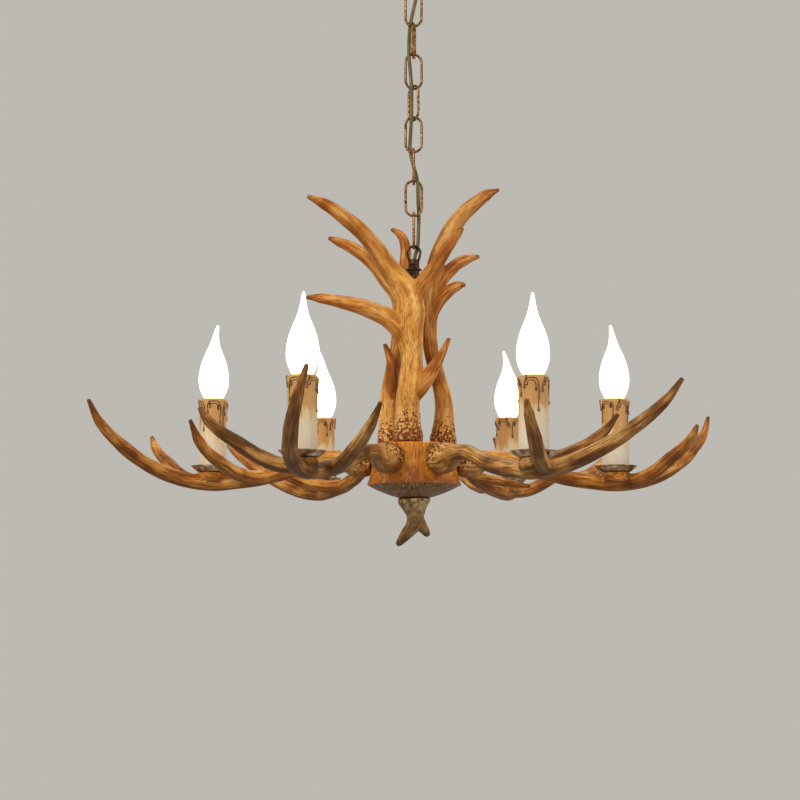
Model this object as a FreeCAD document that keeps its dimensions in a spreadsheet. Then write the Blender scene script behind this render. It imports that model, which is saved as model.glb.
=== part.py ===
import FreeCAD, Part
import Sketcher
import math
import os

# Antler chandelier hung on a chain: six cast antler arms that each carry a candle lamp stand
# round a small drum, three antlers stand on it as a crown, and a forked antler hangs below.
# Millimetres, +Z up, origin where the mounting bar meets the ceiling, the lamp below it.
# The six arms are one casting, set round the hub; like pieces come from one function.

doc = FreeCAD.newDocument("AntlerChandelier")
sheet = doc.addObject("Spreadsheet::Sheet", "Sizes")

DRIVING_SIZES = [
    ("canopy_radius", 60),
    ("canopy_height", 28),
    ("canopy_wall", 1.2),
    ("bar_length", 100),
    ("bar_width", 20),
    ("bar_thickness", 2.5),
    ("bar_hole_spacing", 76),
    ("bar_hole_radius", 2.4),
    ("eye_drop", 26),
    ("eye_half_width", 7.6),
    ("eye_height", 18),
    ("eye_collar_radius", 9.1),
    ("cord_clearance", 1.6),
    ("collar_height", 11),
    ("wire_radius", 1.7),
    ("link_inner_length", 39.3),
    ("link_half_width", 9.6),
    ("link_gap", 0.4),
    ("cord_radius", 2.2),
    ("stem_radius", 6.7),
    ("stem_bore", 4.6),
    ("stem_length", 274),
    ("stem_collar_radius", 9.4),
    ("stem_collar_height", 1.8),
    ("stem_window_drop", 26),
    ("fit_gap", 0.3),
    ("stem_below_bowl", 6.5),
    ("hub_height", 47),
    ("hub_top_radius", 52),
    ("hub_waist_radius", 50),
    ("hub_foot_radius", 55),
    ("hub_wall", 4),
    ("bowl_depth", 14),
    ("bowl_foot_radius", 20),
    ("seat_level", 19),
    ("lamp_ring_radius", 234),
    ("pan_rim_level", 24.3),
    ("pan_radius", 25),
    ("pan_depth", 7),
    ("pan_wall", 1.3),
    ("boss_radius", 16.5),
    ("boss_height", 13.4),
    ("beam_radius", 9),
    ("burr_radius", 18),
    ("sleeve_radius", 16),
    ("sleeve_bore", 13.4),
    ("sleeve_height", 83),
    ("lip_height", 8),
    ("holder_radius", 12.2),
    ("holder_height", 52),
    ("holder_recess", 6),
    ("socket_depth", 26),
    ("socket_radius", 7.6),
    ("nipple_radius", 5),
    ("nipple_bore", 3.4),
    ("cap_radius", 6.8),
    ("bulb_radius", 17.5),
    ("bulb_height", 93),
    ("bolt_radius", 3),
    ("bolt_head_height", 3.5),
    ("bolt_head_radius", 5.4),
    ("bolt_length", 24),
    ("screw_radius", 2.2),
    ("screw_head_height", 2.5),
    ("screw_head_radius", 4.2),
    ("screw_length", 18),
    ("nut_height", 5),
    ("crown_front_reach", 124),
    ("crown_right_reach", 105),
    ("crown_left_reach", 104),
    ("finial_length", 56),
]

for row, (alias, number) in enumerate(DRIVING_SIZES, start=1):
    sheet.set(f"A{row}", alias.replace("_", " "))
    sheet.set(f"B{row}", str(number))
    sheet.setAlias(f"B{row}", alias)
doc.recompute()


def size(alias):
    return float(sheet.get(alias))


def vector(x, y, z):
    return FreeCAD.Vector(x, y, z)


# Levels down from the ceiling, each worked out from the piece above it.
WIRE = 2 * size("wire_radius")
LINK_COUNT = 8
LINK_STEP = size("link_inner_length") - size("link_gap")
EYE_WIRE_LEVEL = -size("canopy_height") - size("eye_drop")
CHAIN_END_LEVEL = EYE_WIRE_LEVEL - LINK_COUNT * LINK_STEP
LOOP_TOP_LEVEL = CHAIN_END_LEVEL + WIRE + size("link_gap")
LOOP_FOOT_LEVEL = LOOP_TOP_LEVEL - size("eye_height") + size("wire_radius")
STEM_COLLAR_TOP = LOOP_FOOT_LEVEL - size("collar_height")
STEM_TOP = STEM_COLLAR_TOP - size("stem_collar_height")
STEM_FOOT = STEM_TOP - size("stem_length")
BOWL_FOOT = STEM_FOOT + size("stem_below_bowl")
HUB_FOOT = BOWL_FOOT + size("bowl_depth")
HUB_TOP = HUB_FOOT + size("hub_height")
SEAT_LEVEL = HUB_TOP - size("seat_level")
PAN_RIM = HUB_TOP - size("pan_rim_level")
PAN_FOOT = PAN_RIM - size("pan_depth")
BOLT_LEVEL = SEAT_LEVEL
ARM_ANGLES = [0, 58, 120, 180, 240, 301.3]
FIT = size("fit_gap")


def flat_face(outer, inner=None):
    """A level face inside one outline, with another outline as its hole."""
    wires = [Part.makePolygon(outer + outer[:1])]
    if inner:
        wires.append(Part.makePolygon(inner + inner[:1]))
    return Part.makeFace(wires, "Part::FaceMakerBullseye")


def band(lower, upper, split):
    """Faces between two outlines with the same count of corners, or down to one point."""
    faces = []
    count = max(len(lower), len(upper))
    for i in range(count):
        k = (i + 1) % count
        corners = [lower[i % len(lower)], lower[k % len(lower)], upper[k % len(upper)], upper[i % len(upper)]]
        if len(lower) == 1:
            corners = [lower[0], upper[k], upper[i]]
        if len(upper) == 1:
            corners = [lower[i], lower[k], upper[0]]
        pieces = [corners]
        if split and len(corners) == 4:
            pieces = [corners[:3], [corners[0], corners[2], corners[3]]]
        faces.extend(Part.Face(Part.makePolygon(piece + piece[:1])) for piece in pieces)
    return faces


def closed_solid(faces):
    solid = Part.makeSolid(Part.makeShell(faces))
    if solid.Volume < 0:
        solid.reverse()
    return solid


def ring_points(radius, level, flats):
    """Corners of a regular outline about the upright axis."""
    if radius == 0:
        return [vector(0, 0, level)]
    turn = 2 * math.pi / flats
    return [vector(radius * math.cos(i * turn), radius * math.sin(i * turn), level) for i in range(flats)]


def turned(profile, flats):
    """A turned piece with a many-sided outline: profile is a closed loop of (radius, level)."""
    rings = [ring_points(radius, level, flats) for radius, level in profile]
    faces = []
    for (radius_a, level_a), (radius_b, level_b), first, second in zip(
        profile, profile[1:] + profile[:1], rings, rings[1:] + rings[:1]
    ):
        if radius_a == 0 and radius_b == 0:
            continue
        if level_a == level_b:
            outer, inner = (first, second) if radius_a > radius_b else (second, first)
            faces.append(flat_face(outer, inner if min(radius_a, radius_b) > 0 else None))
        else:
            faces.extend(band(first, second, False))
    return closed_solid(faces)


def stations(path, count):
    """Evenly spaced places along a smooth curve through the path's (x, y, z, radius) points."""
    places = [vector(*point[:3]) for point in path]
    curve = Part.BSplineCurve()
    curve.interpolate(places)
    knots = [curve.parameter(place) for place in places]
    spacing = curve.length() / (count - 1)
    result = []
    for i in range(count):
        knot = curve.parameterAtDistance(i * spacing)
        span = min(sum(1 for other in knots[1:] if other <= knot), len(knots) - 2)
        share = (knot - knots[span]) / (knots[span + 1] - knots[span])
        radius = path[span][3] + share * (path[span + 1][3] - path[span][3])
        result.append((curve.value(knot), curve.tangent(knot)[0], radius))
    return result


def horn(path, count, flats, start_side=(0.3, 0.5, 1)):
    """A tapering antler branch: many-sided outlines carried along a curve without twist."""
    rings = []
    side = vector(*start_side)
    for centre, along, radius in stations(path, count):
        side = (side - along * side.dot(along)).normalize()
        other = along.cross(side)
        rings.append([
            centre + side * (radius * math.cos(turn)) + other * (radius * math.sin(turn))
            for turn in (2 * math.pi * i / flats for i in range(flats))
        ])
    faces = [flat_face(rings[0]), flat_face(rings[-1])]
    for lower, upper in zip(rings, rings[1:]):
        faces.extend(band(lower, upper, True))
    return closed_solid(faces)


def fused(solids):
    return solids[0].fuse(solids[1:]).removeSplitter() if len(solids) > 1 else solids[0]


def rod(start, along, length, radius, flats=8):
    """A short many-sided rod, used for hidden bolts, screws and the holes that they pass."""
    shape = turned([(0, 0), (radius, 0), (radius, length), (0, length)], flats)
    shape.Placement = FreeCAD.Placement(start, FreeCAD.Rotation(vector(0, 0, 1), along))
    return shape


def place_piece(name, shape, angle=0):
    """Add a finished shape as a named piece, turned about the upright axis."""
    piece = doc.addObject("Part::Feature", name)
    piece.Label = name
    piece.Shape = shape
    turn = FreeCAD.Rotation(vector(0, 0, 1), angle)
    piece.Placement = FreeCAD.Placement(vector(0, 0, 0), turn).multiply(shape.Placement)
    return piece


def place_group(name, solids):
    return place_piece(name, Part.makeCompound(solids))


def new_body(name):
    body = doc.addObject("PartDesign::Body", name)
    body.Label = name
    return body


def sketch_on(body, plane, name):
    """A sketch on one of the body's own origin planes."""
    sketch = body.newObject("Sketcher::SketchObject", name)
    origin = next(feature for feature in body.Origin.OriginFeatures if feature.Role == plane)
    sketch.AttachmentSupport = (origin, [""])
    sketch.MapMode = "FlatFace"
    return sketch


def draw_circle(sketch, expression, offset_expression=None):
    """A circle of bound radius, centred or set off along the sketch's first axis."""
    index = sketch.addGeometry(Part.Circle(vector(1, 0, 0), vector(0, 0, 1), 1))
    radius = sketch.addConstraint(Sketcher.Constraint("Radius", index, 1))
    sketch.setExpression(f"Constraints[{radius}]", expression)
    if offset_expression:
        distance = sketch.addConstraint(Sketcher.Constraint("DistanceX", -1, 1, index, 3, 1))
        sketch.setExpression(f"Constraints[{distance}]", offset_expression)
        sketch.addConstraint(Sketcher.Constraint("PointOnObject", index, 3, -1))
    else:
        sketch.addConstraint(Sketcher.Constraint("Coincident", index, 3, -1, 1))


def draw_rectangle(sketch, width_expression, height_expression, rise_expression=None):
    """A rectangle about the sketch's origin, or with its middle raised above the origin."""
    corners = [vector(-1, -1, 0), vector(1, -1, 0), vector(1, 1, 0), vector(-1, 1, 0)]
    for here, following in zip(corners, corners[1:] + corners[:1]):
        sketch.addGeometry(Part.LineSegment(here, following))
    for edge in range(4):
        sketch.addConstraint(Sketcher.Constraint("Coincident", edge, 2, (edge + 1) % 4, 1))
        sketch.addConstraint(Sketcher.Constraint("Vertical" if edge % 2 else "Horizontal", edge))
    width = sketch.addConstraint(Sketcher.Constraint("DistanceX", 0, 1, 0, 2, 2))
    sketch.setExpression(f"Constraints[{width}]", width_expression)
    height = sketch.addConstraint(Sketcher.Constraint("DistanceY", 1, 1, 1, 2, 2))
    sketch.setExpression(f"Constraints[{height}]", height_expression)
    if rise_expression:
        reach = sketch.addConstraint(Sketcher.Constraint("DistanceX", -1, 1, 0, 2, 1))
        sketch.setExpression(f"Constraints[{reach}]", f"({width_expression}) / 2")
        rise = sketch.addConstraint(Sketcher.Constraint("DistanceY", -1, 1, 1, 2, 2))
        sketch.setExpression(f"Constraints[{rise}]", f"{rise_expression} + ({height_expression}) / 2")
    else:
        sketch.addConstraint(Sketcher.Constraint("Symmetric", 0, 1, 2, 1, -1, 1))


def pad(body, sketch, expression):
    feature = body.newObject("PartDesign::Pad", body.Name + "Pad")
    feature.Profile = sketch
    feature.setExpression("Length", expression)
    return feature


def prism(name, sides, radius_expression, height_expression, foot_level):
    """A many-sided column whose corner radius and height are bound to the sheet."""
    column = doc.addObject("Part::Prism", name)
    column.Polygon = sides
    column.setExpression("Circumradius", radius_expression)
    column.setExpression("Height", height_expression)
    column.Placement.Base = vector(0, 0, foot_level)
    return column


def hollow_prism(name, sides, outer_expression, inner_expression, height_expression, foot_level):
    """A washer, a nut or a short tube: one column cut by another of the same height."""
    ring = doc.addObject("Part::Cut", name)
    ring.Label = name
    ring.Base = prism(name + "_outside", sides[0], outer_expression, height_expression, foot_level)
    ring.Tool = prism(name + "_bore", sides[1], inner_expression, height_expression, foot_level)
    return ring


# Mounting bar: a pressed steel strip that lies flat on the ceiling. A hole near each end
# stays free for the ceiling's own screw.
bar = new_body("mounting_bar")
bar_sketch = sketch_on(bar, "XY_Plane", "BarOutline")
draw_rectangle(bar_sketch, "Sizes.bar_length", "Sizes.bar_width")
draw_circle(bar_sketch, "Sizes.nipple_radius + Sizes.fit_gap")
draw_circle(bar_sketch, "Sizes.bar_hole_radius", "Sizes.bar_hole_spacing / 2")
draw_circle(bar_sketch, "Sizes.bar_hole_radius", "-Sizes.bar_hole_spacing / 2")
pad(bar, bar_sketch, "Sizes.bar_thickness")
bar.Placement.Base = vector(0, 0, -size("bar_thickness"))

# Ceiling canopy: a spun steel dome, open at the ceiling, that covers the bar and the splice.
CANOPY_FLATS = 28
canopy_foot = -size("canopy_height")
wall = size("canopy_wall")
canopy_hole = (size("nipple_radius") + FIT) / math.cos(math.pi / CANOPY_FLATS)
canopy_outside = [
    (size("canopy_radius"), 0),
    (size("canopy_radius"), 0.18 * canopy_foot),
    (0.9 * size("canopy_radius"), 0.55 * canopy_foot),
    (0.66 * size("canopy_radius"), 0.86 * canopy_foot),
    (0.36 * size("canopy_radius"), canopy_foot),
    (canopy_hole, canopy_foot),
]
canopy_inside = [
    (canopy_hole, canopy_foot + wall),
    (0.36 * size("canopy_radius") - 0.2 * wall, canopy_foot + wall),
    (0.66 * size("canopy_radius") - 0.5 * wall, 0.86 * canopy_foot + wall),
    (0.9 * size("canopy_radius") - wall, 0.55 * canopy_foot + 0.4 * wall),
    (size("canopy_radius") - wall, 0.18 * canopy_foot),
    (size("canopy_radius") - wall, 0),
]
place_piece("ceiling_canopy", turned(canopy_outside + canopy_inside, CANOPY_FLATS))

# Hollow threaded rod from the bar down through the canopy, with a lock nut on the bar's
# underside; the cord runs inside it.
ROD_BELOW_CANOPY = 5
hollow_prism("canopy_rod", (12, 12), "Sizes.nipple_radius", "Sizes.nipple_bore",
             f"Sizes.canopy_height + {ROD_BELOW_CANOPY}", canopy_foot - ROD_BELOW_CANOPY)
hollow_prism("canopy_lock_nut", (6, 12), "Sizes.nipple_radius * 1.84",
             "(Sizes.nipple_radius + Sizes.fit_gap) / cos(180 / 12)",
             "Sizes.nut_height", -size("bar_thickness") - size("nut_height"))


def link_outline(half_width, top_level, foot_level, bend_steps=6):
    """Centre line of a long oval link, as straight sides and stepped half-round ends."""
    points = []
    for i in range(bend_steps + 1):
        turn = math.pi * i / bend_steps
        points.append((half_width * math.cos(turn), top_level - half_width + half_width * math.sin(turn)))
    for i in range(bend_steps + 1):
        turn = math.pi * (1 + i / bend_steps)
        points.append((half_width * math.cos(turn), foot_level + half_width + half_width * math.sin(turn)))
    return points


def bent_wire(outline, radius, flats=6):
    """A closed ring of six-sided wire, mitred at each corner of its outline."""
    rings = []
    count = len(outline)
    for i, (x, z) in enumerate(outline):
        before = vector(x - outline[i - 1][0], 0, z - outline[i - 1][1]).normalize()
        after_point = outline[(i + 1) % count]
        after = vector(after_point[0] - x, 0, after_point[1] - z).normalize()
        along = (before + after).normalize()
        outward = vector(along.z, 0, -along.x)
        stretch = 1 / math.sqrt((1 + before.dot(after)) / 2)
        turns = [2 * math.pi * (k + 0.5) / flats for k in range(flats)]
        rings.append([
            vector(x, 0, z) + outward * (radius * stretch * math.sin(turn))
            + vector(0, radius * math.cos(turn), 0)
            for turn in turns
        ])
    faces = []
    for lower, upper in zip(rings, rings[1:] + rings[:1]):
        faces.extend(band(lower, upper, False))
    return closed_solid(faces)


def turned_about_axis(shape, angle):
    shape = shape.copy()
    shape.rotate(vector(0, 0, 0), vector(0, 0, 1), angle)
    return shape


def collar(top_level, height, radius, bore, flats=16):
    return turned([(bore, top_level - height), (radius, top_level - height),
                   (radius, top_level), (bore, top_level)], flats)


# Canopy eye: a hollow collar screwed on the rod, which holds the canopy up, with a closed
# eye below it for the chain.
eye_top = EYE_WIRE_LEVEL + size("eye_height")
collar_top = canopy_foot
EYE_TURN = 90
collar_bore = (size("nipple_radius") + FIT) / math.cos(math.pi / 16)
eye_ring = bent_wire(link_outline(size("eye_half_width"), eye_top, EYE_WIRE_LEVEL), size("wire_radius"))
eye_collar = collar(collar_top, collar_top - eye_top + WIRE, size("eye_collar_radius"), collar_bore)
CORD_WAY = size("cord_radius") + size("cord_clearance")
cord_way = rod(vector(0, 0, eye_top - 2 * WIRE), vector(0, 0, 1), 4 * WIRE, CORD_WAY, 10)
canopy_eye = fused([turned_about_axis(eye_ring, EYE_TURN), eye_collar]).cut(cord_way)
place_piece("canopy_eye", canopy_eye)

# Chain: closed oval links of hammered wire; each hangs in the one above, and the turn of
# each about the upright axis is as they hang.
LINK_TURNS = [0, 80, 5, -55, 0, 90, 0, 90]
for number, turn in enumerate(LINK_TURNS):
    link_top = EYE_WIRE_LEVEL - number * LINK_STEP + WIRE + size("link_gap")
    link_foot = EYE_WIRE_LEVEL - (number + 1) * LINK_STEP
    outline = link_outline(size("link_half_width"), link_top, link_foot)
    place_piece(f"chain_link_{number + 1}", bent_wire(outline, size("wire_radius")), turn)

# Stem loop: the eye that the last link carries, on a hollow collar at the head of the stem.
loop_ring = bent_wire(
    link_outline(size("eye_half_width"), LOOP_TOP_LEVEL, LOOP_FOOT_LEVEL - size("wire_radius")),
    size("wire_radius"))
loop_collar = collar(LOOP_FOOT_LEVEL, size("collar_height"), size("stem_radius"), size("stem_bore"))
loop_way = rod(vector(0, 0, STEM_COLLAR_TOP), vector(0, 0, 1), size("collar_height") + WIRE, CORD_WAY, 10)
place_piece("stem_loop", fused([loop_ring, loop_collar]).cut(loop_way))

# Stem: a washer and a plain tube that runs down through the crown, the hub and the bowl.
# A window in its side lets the cord out to the terminal block in the hub.
hollow_prism("stem_collar", (16, 16), "Sizes.stem_collar_radius", "Sizes.stem_bore",
             "Sizes.stem_collar_height", STEM_TOP)
stem = new_body("stem_tube")
stem_outline = sketch_on(stem, "XY_Plane", "StemOutline")
draw_circle(stem_outline, "Sizes.stem_radius")
draw_circle(stem_outline, "Sizes.stem_bore")
pad(stem, stem_outline, "Sizes.stem_length")
window = sketch_on(stem, "YZ_Plane", "StemWindow")
draw_rectangle(window, "Sizes.cord_radius * 3.2", "Sizes.cord_radius * 12",
               "Sizes.stem_below_bowl + Sizes.bowl_depth + Sizes.hub_height - Sizes.stem_window_drop")
opening = stem.newObject("PartDesign::Pocket", "StemWindowCut")
opening.Profile = window
opening.Reversed = True
opening.setExpression("Length", "Sizes.stem_radius + 1")
stem.Placement.Base = vector(0, 0, STEM_FOOT)

# Hub body: a drum with a drawn-in waist and a closed top, open below.
HUB_FLATS = 24
wall = size("hub_wall")
waist_level = HUB_TOP - 0.42 * size("hub_height")
stem_hole = (size("stem_radius") + FIT) / math.cos(math.pi / HUB_FLATS)
hub_outside = [
    (size("hub_top_radius"), HUB_TOP),
    (size("hub_waist_radius"), waist_level),
    (size("hub_foot_radius"), HUB_FOOT),
]
hub_inside = [
    (size("hub_foot_radius") - 1.6 * wall, HUB_FOOT),
    (size("hub_waist_radius") - wall, waist_level),
    (size("hub_waist_radius") - wall, HUB_TOP - wall),
    (stem_hole, HUB_TOP - wall),
    (stem_hole, HUB_TOP),
]
hub_shell = turned(hub_outside + hub_inside, HUB_FLATS)
hub_envelope = turned([(0, HUB_TOP)] + hub_outside + [(0, HUB_FOOT)], HUB_FLATS)


def radial(angle):
    return vector(math.cos(math.radians(angle)), math.sin(math.radians(angle)), 0)


# A bolt's head lies against the drum's inner flats. Each crown antler has its screw at its own
# turn about the axis, a set way inside the drum's wall.
drum_inside = (size("hub_waist_radius") - wall) * math.cos(math.pi / HUB_FLATS)
bolt_start = drum_inside - size("bolt_head_height")
HOLE_END = 1.5
hub_holes = [
    rod(radial(angle) * bolt_start + vector(0, 0, BOLT_LEVEL), radial(angle), size("bolt_length"),
        size("bolt_radius") + FIT)
    for angle in ARM_ANGLES
]
SEAT_TURNS = {"front": (257.8, 15.3), "right": (27.5, 7), "left": (145.4, 10.8)}
crown_seats = {
    side: radial(turn) * (size("hub_waist_radius") - wall - inset)
    for side, (turn, inset) in SEAT_TURNS.items()
}
crown_holes = [
    rod(seat + vector(0, 0, HUB_TOP - wall - FIT), vector(0, 0, 1), wall + 2 * FIT,
        size("screw_radius") + FIT)
    for seat in crown_seats.values()
]
place_piece("hub_body", hub_shell.cut(hub_holes + crown_holes))

# Hub base: a shallow cast bowl that closes the drum, located by a lip inside it.
LIP_HEIGHT = 3
lip_radius = size("hub_foot_radius") - 1.6 * wall - FIT
base_hole = (size("stem_radius") + FIT) / math.cos(math.pi / HUB_FLATS)
base_profile = [
    (size("hub_foot_radius") - 2, HUB_FOOT),
    (0.62 * size("hub_foot_radius"), HUB_FOOT - 0.68 * size("bowl_depth")),
    (size("bowl_foot_radius"), BOWL_FOOT),
    (base_hole, BOWL_FOOT),
    (base_hole, BOWL_FOOT + wall),
    (size("bowl_foot_radius"), BOWL_FOOT + wall),
    (lip_radius - 4, HUB_FOOT - 0.2 * size("bowl_depth")),
    (lip_radius - 3, HUB_FOOT + LIP_HEIGHT),
    (lip_radius, HUB_FOOT + LIP_HEIGHT),
    (lip_radius, HUB_FOOT),
]
place_piece("hub_base", turned(base_profile, HUB_FLATS))

# Hub nuts: one under the drum's top plate and one on the bowl's floor, both on the stem.


def nut(level, radius, bore):
    top = level + size("nut_height")
    hole_radius = (bore + FIT) / math.cos(math.pi / 12)
    block = turned([(0, level), (radius, level), (radius, top), (0, top)], 6)
    return block.cut(turned([(0, level), (hole_radius, level), (hole_radius, top), (0, top)], 12))


HUB_NUT_RADIUS = size("stem_radius") * 1.76
place_group("hub_nuts", [
    nut(HUB_TOP - wall - size("nut_height"), HUB_NUT_RADIUS, size("stem_radius")),
    nut(BOWL_FOOT + wall, HUB_NUT_RADIUS, size("stem_radius")),
])

# Bottom finial: a small forked antler screwed on the end of the stem.
finial_scale = size("finial_length") / 56


def below_hub(points):
    return [(x, y, BOWL_FOOT + z * finial_scale, radius) for x, y, z, radius in points]


finial_stock = horn(below_hub([
    (0, 0, 0, 19.5), (0, 0, -4, 18.6), (0.8, 0, -10, 14), (2, 0, -20, 9.8), (0.5, 0, -31, 8.6),
    (-7, -1, -42, 7), (-14.5, -2, -52, 3.8), (-18, -2, -56, 1.8)]), 12, 10, (1, 0, 0))
finial_fork = horn(below_hub([
    (2.5, 0, -26, 7), (8.5, 1, -34, 6.2), (14.5, 2, -41, 4.4), (17, 2, -45, 1.8)]), 5, 10, (1, 0, 0))
stem_below = BOWL_FOOT - STEM_FOOT
finial_bore = rod(vector(0, 0, STEM_FOOT - FIT), vector(0, 0, 1), stem_below + 10,
                  (size("stem_radius") + FIT) / math.cos(math.pi / 8))
slab = Part.makeBox(60, 60, 10, vector(-30, -30, BOWL_FOOT))
place_piece("bottom_finial", fused([finial_stock, finial_fork]).cut([finial_bore, slab]))

# Antler arms: one casting with a burr against the drum, a beam that dips under the lamp and
# sweeps up to its tip, and a tine on each side of the lamp. Points are (outward, across,
# above the pan rim, radius); the tips stand a set way beyond the lamp.
ring = size("lamp_ring_radius")
burr = size("burr_radius")
beam = size("beam_radius")
seat_height = SEAT_LEVEL - PAN_RIM
butt = size("hub_waist_radius") - 6

ARM_BEAM = [
    (butt, 0, seat_height, 0.72 * burr),
    (butt + 6, 0, seat_height, 0.92 * burr),
    (butt + 14, 0, seat_height - 0.3, burr),
    (butt + 26, 0, seat_height - 0.5, 0.96 * burr),
    (butt + 34, 0, seat_height + 0.7, 0.75 * burr),
    (butt + 42, 0, seat_height + 2.7, 1.11 * beam),
    (butt + 52, 0, seat_height + 3.7, beam),
    (ring - 122, 0, 7, 0.94 * beam),
    (ring - 102, 0, 0, 0.94 * beam),
    (ring - 84, 0, -7.5, 0.96 * beam),
    (ring - 34, 1, -17.5, beam),
    (ring, 4, -20.4, beam),
    (ring + 46, 19, -12, 0.98 * beam),
    (ring + 88, 46, 12, 0.87 * beam),
    (ring + 117, 74, 43, 0.64 * beam),
    (ring + 128, 91, 69, 0.27 * beam),
]
ARM_FRONT_TINE = [
    (ring + 14, 6, -18, 0.91 * beam),
    (ring + 31, -14, -14, 0.93 * beam),
    (ring + 56, -40, 5, 0.84 * beam),
    (ring + 77, -62, 27, 0.61 * beam),
    (ring + 83, -70, 42, 0.27 * beam),
]
ARM_BACK_TINE = [
    (ring - 59, 0, -14, 0.94 * beam),
    (ring - 39, 20, -13, 0.91 * beam),
    (ring - 16, 52, -1, 0.86 * beam),
    (ring + 4, 84, 20, 0.68 * beam),
    (ring + 13, 102, 44, 0.27 * beam),
]
# The arm at the rear right has one more short tine, low on its inner side.
ARM_SIDE_TINE = [
    (ring - 104, -2, -2, 0.72 * beam),
    (ring - 84, -22, -8, 0.68 * beam),
    (ring - 66, -42, -13, 0.56 * beam),
    (ring - 54, -60, -16, 0.27 * beam),
]
SIDE_TINE_ARM = 1
HORN_FLATS = 8


def above_pan(points):
    return [(x, y, PAN_RIM + z, radius) for x, y, z, radius in points]


boss_foot = PAN_FOOT - size("boss_height")
boss = turned([(0, boss_foot), (size("boss_radius") + 1.5, boss_foot), (size("boss_radius"), PAN_FOOT),
               (0, PAN_FOOT)], 12)
boss.translate(vector(ring, 0, 0))
NIPPLE_SINK = 10
lamp_hole = rod(vector(ring, 0, PAN_FOOT - NIPPLE_SINK - FIT), vector(0, 0, 1), NIPPLE_SINK + 10,
                (size("nipple_radius") + FIT) / math.cos(math.pi / 8))
bolt_hole = rod(vector(bolt_start, 0, BOLT_LEVEL), vector(1, 0, 0), size("bolt_length") + HOLE_END,
                size("bolt_radius") + FIT)
pan_clearance = turned([(0, PAN_FOOT), (size("boss_radius") + 6, PAN_FOOT),
                        (size("boss_radius") + 6, PAN_RIM + 10), (0, PAN_RIM + 10)], 8)
pan_clearance.translate(vector(ring, 0, 0))


def antler_arm(number, angle):
    branches = [
        horn(above_pan(ARM_BEAM), 16, HORN_FLATS),
        horn(above_pan(ARM_FRONT_TINE), 5, HORN_FLATS),
        horn(above_pan(ARM_BACK_TINE), 6, HORN_FLATS),
        boss,
    ]
    if number == SIDE_TINE_ARM:
        branches.append(horn(above_pan(ARM_SIDE_TINE), 4, HORN_FLATS))
    casting = fused(branches).cut([lamp_hole, bolt_hole, pan_clearance])
    return turned_about_axis(casting, angle).cut(hub_envelope)


for number, angle in enumerate(ARM_ANGLES):
    place_piece(f"arm_antler_{number + 1}", antler_arm(number, angle))

# Arm bolts: from inside the drum out into each arm's burr.
arm_bolts = []
for angle in ARM_ANGLES:
    start = radial(angle) * bolt_start + vector(0, 0, BOLT_LEVEL)
    head = rod(start, radial(angle), size("bolt_head_height") - FIT, size("bolt_head_radius"), 6)
    shank = rod(start, radial(angle), size("bolt_length"), size("bolt_radius"), 8)
    arm_bolts.append(fused([head, shank]))
place_group("arm_bolts", arm_bolts)

# Crown antlers: three castings with their burrs flat on the drum's top. Points are
# (right, away, above the drum's top, radius), and the first of each casting is its seat. A
# casting keeps its own shape: it grows with its reach about its seat, and moves with it.


def crown_points(points, share, modelled_seat, seat):
    return [
        (seat.x + (x - modelled_seat[0]) * share, seat.y + (y - modelled_seat[1]) * share,
         HUB_TOP + z * share, radius)
        for x, y, z, radius in points
    ]


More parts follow.
